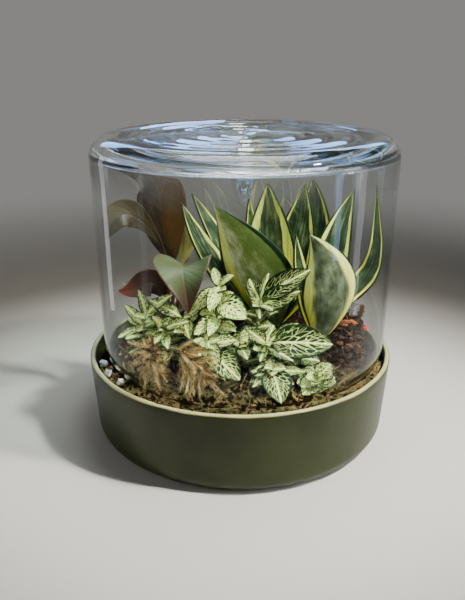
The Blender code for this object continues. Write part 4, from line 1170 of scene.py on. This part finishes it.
def add_twigs(heap, draw, root, tip, bristles, length, stray, radii, shades, held):
    """Needles along straight twigs: each starts at a random share of its twig and points ahead and aside."""
    way = tip - root
    t = draw.uniform(0.05, 1.0, (len(root), bristles))
    starts = (root[:, None] + way[:, None] * t[..., None]).reshape(-1, 3)
    ahead = np.repeat(unit(way), bristles, axis=0)
    ways = unit(ahead + unit(draw.normal(size=starts.shape)) * stray)
    lengths = length * draw.uniform(0.45, 1.0, len(starts)) * (1.15 - 0.6 * t.ravel())
    ends = held(starts + ways * lengths[:, None])
    reach = ends - held(starts)
    tones = np.clip(np.repeat(shades, bristles) + draw.normal(0, 0.2, len(starts)), 0, 1)
    add_needles(heap, held(starts), reach, np.linalg.norm(reach, axis=1), draw.uniform(*radii, len(starts)),
                0 * reach, tones, rings=2)
    # The twigs get half the shade of their needles: a painted shade inside each tuft and felt of moss.
    add_needles(heap, root, way, np.linalg.norm(way, axis=1), np.full(len(root), 2 * radii[1]), 0 * way, shades * 0.5)


straw_finish = dry_straw()
for number, plan in enumerate(TUFTS, 1):
    draw = np.random.default_rng(40 + number)
    heap = Heap()
    root, run = bezier(plan.run, draw.uniform(0, 0.7, plan.twigs))
    aside = unit(draw.normal(size=root.shape))
    root = kept_inside(root + aside * draw.uniform(0, 6, (plan.twigs, 1)))
    reach = draw.uniform(1.6, 3.0, (plan.twigs, 1)) * plan.length
    tip = kept_inside(root + unit(run + aside * 0.75) * reach)
    shades = np.clip(plan.shade + draw.normal(0, 0.2, plan.twigs), 0, 1)
    add_twigs(heap, draw, root, tip, TUFT_BRISTLES, plan.length, 0.5, (0.10, 0.20), shades, kept_inside)
    heap.piece(f"dry_tuft_{number}", [straw_finish], f"straw_tuft_{number}", smooth=False)

# %% [markdown]
# ## Moss along the front
#
# Sheet moss lies between the plants and the glass, and in the ring between the glass and the rim. Seen close it is
# a felt of tiny feathery shoots, green where it lives and brown where it has dried. They are twigs like those of the
# tufts, only shorter and lying every way, and a slow noise decides which patches are dry.

# %% Moss shoots
MOSS_SPAN = (-136.0, -34.0)
MOSS_RADII = (92.0, 125.0)
RING_SPAN = (-160.0, -18.0)
RING_RADII = (134.0, 143.0)
RING_LEAST = 135.4
RING_LIFT = 0.3
MOSS_SHOOTS = 460
MOSS_BRISTLES = 22


def moss_finish():
    """Moss from brown to green by the shade of its shoot."""
    finish = Finish("sheet_moss", Specular_IOR_Level=0.0)
    _, along, shade = finish.triple("leaf")
    dry = finish.noise(finish.place(), 45.0, 2.0)
    green = finish.mix(shade, (14, 20, 7), (88, 98, 44))
    brown = finish.mix(shade, (20, 14, 8), (168, 138, 86))
    colour = finish.mix(finish.step(dry, 0.46, 0.62), brown, green)
    colour = finish.mix(along * 0.35, colour, (206, 190, 132))
    return finish.paint(colour, 0.85)


def kept_in_ring(points):
    """Points held between the glass and the bowl, and above the ground."""
    x, y = held_between(points[..., 0], points[..., 1], DOME_SHIFT, RING_LEAST, np.inf)
    x, y = held_between(x, y, 0, 1, RING_RADII[1])
    return np.stack([x, y, np.clip(points[..., 2], soil_level(x, y) + RING_LIFT, BOWL_HEIGHT - 1)], axis=-1)


def moss_piece(name, span, radii, shift, rise, seed, held):
    """Felt of shoots in a sector of a ring."""
    draw = np.random.default_rng(seed)
    angle = draw.uniform(*span, MOSS_SHOOTS) * DEGREE
    radius = np.sqrt(draw.uniform(radii[0] ** 2, radii[1] ** 2, MOSS_SHOOTS))
    x, y = shift + radius * np.cos(angle), radius * np.sin(angle)
    root = held(np.stack([x, y, soil_level(x, y) + draw.uniform(0, rise, MOSS_SHOOTS)], axis=1))
    ways = draw.normal(size=root.shape) * (1, 1, 0.4) + (0, 0, 0.35)
    tip = held(root + unit(ways) * draw.uniform(5, 12, (MOSS_SHOOTS, 1)))
    heap = Heap()
    shades = draw.uniform(0.1, 0.9, MOSS_SHOOTS)
    add_twigs(heap, draw, root, tip, MOSS_BRISTLES, 4.2, 0.8, (0.07, 0.15), shades, held)
    heap.piece(name, [moss_surface], "moss_mat", smooth=False)


moss_surface = moss_finish()
moss_piece("moss_lawn", MOSS_SPAN, MOSS_RADII, DOME_SHIFT, 3.0, 60, kept_inside)
moss_piece("moss_ring", RING_SPAN, RING_RADII, 0.0, 11.0, 61, kept_in_ring)

# %% [markdown]
# ## Stones, bark and sprigs
#
# A few loose things lie on the ground: white stones at the left, chips of orange bark and two dry sprigs.
# Each lump is a sphere worked out on a grid of angles, stretched to its node's box and roughened by noise, which
# is stronger and layered on the bark. The layered chip also gets splinters, which are needles laid along it.

# %% Lumps fitted to their nodes
LUMP_GRID = (28, 44)
SPLINTERS = 46


def lump_points(node, rough, pitch, seed, layered):
    """Sphere of angles stretched to a node's box: each direction is scaled by 1 + rough * noise."""
    low, high = (np.array(corner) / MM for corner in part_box(node))
    tilt = np.linspace(0, np.pi, LUMP_GRID[0])[:, None]
    turn = -np.arange(LUMP_GRID[1]) * 2 * np.pi / LUMP_GRID[1]
    way = np.stack([np.sin(tilt) * np.cos(turn), np.sin(tilt) * np.sin(turn), np.cos(tilt) + 0 * turn], axis=-1)
    shape = np.sign(way) * np.abs(way) ** 0.85
    bumps = roughness_field(way[..., 0] * (10 - 7 * layered) + seed, way[..., 1] * 10 + way[..., 2] * 7, pitch, seed)
    shape = shape * (1 - rough + rough * bumps)[..., None]
    shape = shape / np.abs(shape).max(axis=(0, 1))
    return (low + high) / 2 + shape * (high - low) / 2


def add_lump(name, node, finish, rough, pitch, seed, layered=0.0):
    """Piece of one lump in place of its node; a layered one has splinters along it."""
    heap = Heap()
    points = lump_points(node, rough, pitch, seed, layered)
    heap.add_rings(points, 0.5)
    if layered:
        draw = np.random.default_rng(seed)
        low, high = points.min(axis=(0, 1)), points.max(axis=(0, 1))
        pick = points.reshape(-1, 3)[draw.integers(0, LUMP_GRID[0] * LUMP_GRID[1], SPLINTERS)]
        roots = low + (pick - low) * 0.94 + (high - low) * 0.03
        ways = draw.normal(size=roots.shape) * (1.0, 0.35, 0.2)
        lengths = np.minimum(draw.uniform(3, 8, SPLINTERS), (high - low)[0] * 0.3)
        ways[:, 0] = np.abs(ways[:, 0]) * np.sign((low + high)[0] / 2 - roots[:, 0])
        add_needles(heap, roots, ways, lengths, draw.uniform(0.3, 0.8, SPLINTERS), 0 * ways, draw.random(SPLINTERS))
    weld(heap.piece(name, [finish], node))


def white_stone():
    """Crystalline white stone with grey shadows in its pits."""
    finish = Finish("white_stone", Subsurface_Weight=0.15, Subsurface_Scale=0.002)
    cloud = finish.noise(finish.place(), 500.0, 5.0, 0.65)
    finish.bump(cloud, 0.6)
    return finish.paint(finish.mix(cloud, (250, 250, 248), (196, 197, 196)), 0.5 + cloud * 0.2)


def bark(name, dark, light):
    """Layered bark: noise stretched along the chip, dark in its cracks."""
    finish = Finish(name)
    x, y, z = finish.split(finish.place())
    layers = finish.noise(finish.vector(x * 110.0, y * 340.0, z * 760.0), 1.0, 5.0, 0.65)
    finish.bump(layers, 1.6)
    colour = finish.mix(finish.step(layers, 0.42, 0.60), dark, light)
    return finish.paint(colour, 0.85)


stone_finish = white_stone()
for number in range(1, 5):
    add_lump(f"loose_stone_{number}", f"white_stone_{number}", stone_finish, 0.2, 6.0, number)
orange, pale = bark("orange_bark", (38, 18, 6), (184, 98, 16)), bark("pale_bark", (120, 82, 46), (212, 172, 116))
add_lump("bark_piece", "bark_chip", orange, 0.26, 3.2, 11, 1.0)
add_lump("bark_splinter", "bark_sliver", pale, 0.08, 8.0, 13)
add_lump("bark_red_end", "bark_tip", bark("red_bark", (140, 14, 8), (246, 44, 30)), 0.2, 4.0, 12)

# %% Dry sprigs
HEATHER = ((113.0, 9.0), (121.0, 5.0))
HEATHER_HEIGHT = 15.0
HEATHER_LEAN = 3.0
HEATHER_BUDS = 90
HEATHER_RADII = (0.9, 0.5)
sprig_finish = bark("dry_sprig", (36, 22, 12), (120, 78, 42))
for number, place in enumerate(HEATHER, 1):
    draw = np.random.default_rng(80 + number)
    level = soil_level(*place)
    top = (place[0] + HEATHER_LEAN, place[1] - HEATHER_LEAN, level + HEATHER_HEIGHT)
    line = ((*place, level - 8), (*place, level + HEATHER_HEIGHT / 3), top)
    heap = Heap()
    add_tube(heap, line, HEATHER_RADII, rows=10, sides=6)
    n = HEATHER_BUDS
    roots, ahead = bezier(line, draw.uniform(0.45, 1.0, n))
    ways = unit(ahead * 0.8 + unit(draw.normal(size=roots.shape)))
    lengths = draw.uniform(1.5, 4.5, n)
    add_needles(heap, roots, ways, lengths, draw.uniform(0.2, 0.4, n), ahead * 0.5, draw.random(n))
    add_crumbs(heap, roots + ways * lengths[:, None], draw.uniform(0.5, 1.1, n), draw, draw.random(n))
    heap.piece(f"dry_sprig_{number}", [sprig_finish], f"heather_sprig_{number}", smooth=False)

# %% [markdown]
# ## The hidden layer
#
# Under the soil lies a layer of stones that drains it. It is never seen, so its solid stays as it is and only gets
# the finish of the white stones.

# %% Drainage layer
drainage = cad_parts["drainage_stones"]
drainage.material_slots[0].material = stone_finish
print("drainage layer finished with", stone_finish.name)

# %% [markdown]
# ## Light, floor and camera
#
# The picture is taken from a little above, with a fairly long lens. The light comes from the right, with weaker
# lamps at the left and behind that reach into the shadows. Clear glass is seen by what it mirrors, so four windows
# stand behind, which show as bright arcs in the rings of the top, one lies above, which shows along the shoulder, and
# narrow stripes stand beside it, which show on its wall; none of them lights a matt surface. The floor is painted
# pale round the object, a painted pool of light, and grey farther off, and bends up into a backdrop that glows by
# painted emission, without a horizon.

# %% Camera
FOCAL_PIXELS = 690.25
FRAME_HEIGHT = 600
SENSOR = 36.0
CAMERA_PLACE = (-0.0074, -0.6466, 0.3682)
CAMERA_PITCH = 0.355
camera = put("camera", bpy.data.cameras.new("camera"))
camera.data.sensor_width = SENSOR
camera.data.lens = FOCAL_PIXELS / FRAME_HEIGHT * SENSOR
camera.location = CAMERA_PLACE
camera.rotation_euler = (np.pi / 2 - CAMERA_PITCH, 0, 0)
bpy.context.scene.camera = camera
print("lens of", round(camera.data.lens, 1), "mm")

# %% Floor
PAINTED_POOL_RADII = (0.24, 0.52)
GLOW_RADII = (0.47, 1.47)
GLOW_LEAN = 0.17
FLOOR_EDGE = 2.2
FLOOR_STEPS = 96
BEND = 0.8
WALL_TOP = 2.6
ROOM_TINT = (150, 149, 146)
ROOM_GLOW = 0.20
WALL_GLOW = 0.80


def floor_finish():
    """Pale matt paint in a painted pool of light, grey beyond it; far off a painted glow, sooner behind than in front.
    """
    finish = Finish("pale_floor", Specular_IOR_Level=0.0, Emission_Strength=1.0)
    x, y, z = finish.split(finish.place())
    radius = (x * x + y * y) ** 0.5
    far = finish.step(radius + y * GLOW_LEAN, *GLOW_RADII)
    # A painted pool of light: the floor is pale within the pool and grey beyond it.
    painted_pool_tint = finish.mix(finish.step(radius, *PAINTED_POOL_RADII), (206, 205, 202), (104, 102, 98))
    room = np.array(tint(*ROOM_TINT))
    glow = finish.mix(finish.step(z, 0.6, WALL_TOP), tuple(room * WALL_GLOW), tuple(room * ROOM_GLOW))
    # The far floor and the backdrop glow by painted emission.
    finish.feed(finish.shader.inputs["Emission Color"], finish.mix(far, (0, 0, 0), glow))
    return finish.paint(finish.mix(far, painted_pool_tint, (30, 30, 29)), 0.9)


sweep_profile = np.concatenate([
    [(0.0, 0.0)], np.stack([np.linspace(0.4, FLOOR_EDGE, 12), np.zeros(12)], axis=1),
    arc((FLOOR_EDGE, BEND), BEND, -90, 0, 16)[1:], [(FLOOR_EDGE + BEND, WALL_TOP)],
])
sweep = turn_profile(sweep_profile[::-1], 0.0, FLOOR_STEPS)
floor_mesh = bpy.data.meshes.new("floor")
floor_mesh.from_pydata(sweep.reshape(-1, 3).tolist(), [], grid_faces(*sweep.shape[:2], closed=True).tolist())
floor_mesh.polygons.foreach_set("use_smooth", np.full(len(floor_mesh.polygons), True))
floor_mesh.materials.append(floor_finish())
floor = weld(put("floor", floor_mesh))
floor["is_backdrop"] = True
print("the floor bends up", FLOOR_EDGE, "m from the object")

# %% Lights
Lamp = namedtuple("Lamp", "name place aim size power colour mirrored spread", defaults=(False, 180.0))
WHITE = (0.95, 0.97, 1.0)
MIDDLE, TOP = (0.0, 0.0, 0.12), (0.0, 0.0, 0.28)
LAMPS = (
    Lamp("key", (0.88, -0.42, 1.32), MIDDLE, (0.12, 0.12), 4.8, (1.0, 0.96, 0.86), spread=50.0),
    Lamp("side", (1.05, -0.28, 0.40), (0.08, -0.07, 0.05), (0.30, 0.30), 0.36, (1.0, 0.98, 0.93), spread=40.0),
    Lamp("stripe_right", (0.405, -0.245, 0.19), (0.07, -0.11, 0.19), (0.036, 0.20), 0.20, (0.42, 0.62, 1.0), True),
    Lamp("stripe_left", (-0.40, 0.12, 0.18), (-0.1, -0.05, 0.18), (0.05, 0.34), 0.10, WHITE, True),
    Lamp("stripe_far", (0.44, -0.10, 0.18), (0.1, -0.09, 0.18), (0.05, 0.34), 0.17, WHITE, True),
    Lamp("stripe_near", (-0.40, -0.17, 0.18), (-0.1, -0.1, 0.18), (0.04, 0.34), 0.04, WHITE, True),
    Lamp("fill", (-1.0, -0.8, 0.9), MIDDLE, (0.25, 0.25), 0.17, (1.0, 0.98, 0.92), spread=50.0),
    Lamp("back", (-0.1, 0.9, 1.1), MIDDLE, (0.7, 0.4), 2.0, (1.0, 0.98, 0.94)),
    Lamp("window_left", (-0.48, 0.95, 0.72), TOP, (0.42, 0.27), 4.0, (0.22, 0.44, 1.0), True),
    Lamp("window_middle", (-0.12, 0.99, 0.74), TOP, (0.22, 0.24), 2.3, (0.32, 0.54, 1.0), True),
    Lamp("window_high", (0.02, 1.02, 1.05), TOP, (0.05, 0.26), 0.8, (0.90, 0.95, 1.0), True),
    Lamp("window_above", (0.05, 0.25, 1.40), (0.05, 0.25, 0.0), (0.95, 0.70), 45.0, (0.93, 0.96, 1.0), True),
    Lamp("window_right", (0.36, 0.95, 0.72), TOP, (0.40, 0.27), 3.7, (0.26, 0.48, 1.0), True),
)
for lamp in LAMPS:
    light = bpy.data.lights.new(lamp.name, "AREA")
    light.shape = "RECTANGLE"
    light.size, light.size_y = lamp.size
    light.energy = lamp.power
    light.color = lamp.colour
    light.spread = lamp.spread * DEGREE
    holder = put(lamp.name, light)
    holder.location = lamp.place
    way = np.array(lamp.aim) - np.array(lamp.place)
    holder.rotation_euler = (np.arctan2(np.hypot(way[0], way[1]), -way[2]), 0, np.arctan2(-way[0], way[1]))
    holder.visible_camera = False
    holder.visible_diffuse = not lamp.mirrored
    holder.visible_transmission = not lamp.name.startswith("stripe")
world = bpy.data.worlds.new("room")
world.use_nodes = True
sky = world.node_tree.nodes["Background"].inputs
sky["Color"].default_value, sky["Strength"].default_value = tint(*ROOM_TINT), ROOM_GLOW
bpy.context.scene.world = world
print(len(LAMPS), "lamps placed")

# %% Gather the finished box and the frame's
sizes = {"frame": [list(corner) for corner in frame_box], "finished": [list(corner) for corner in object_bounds()]}
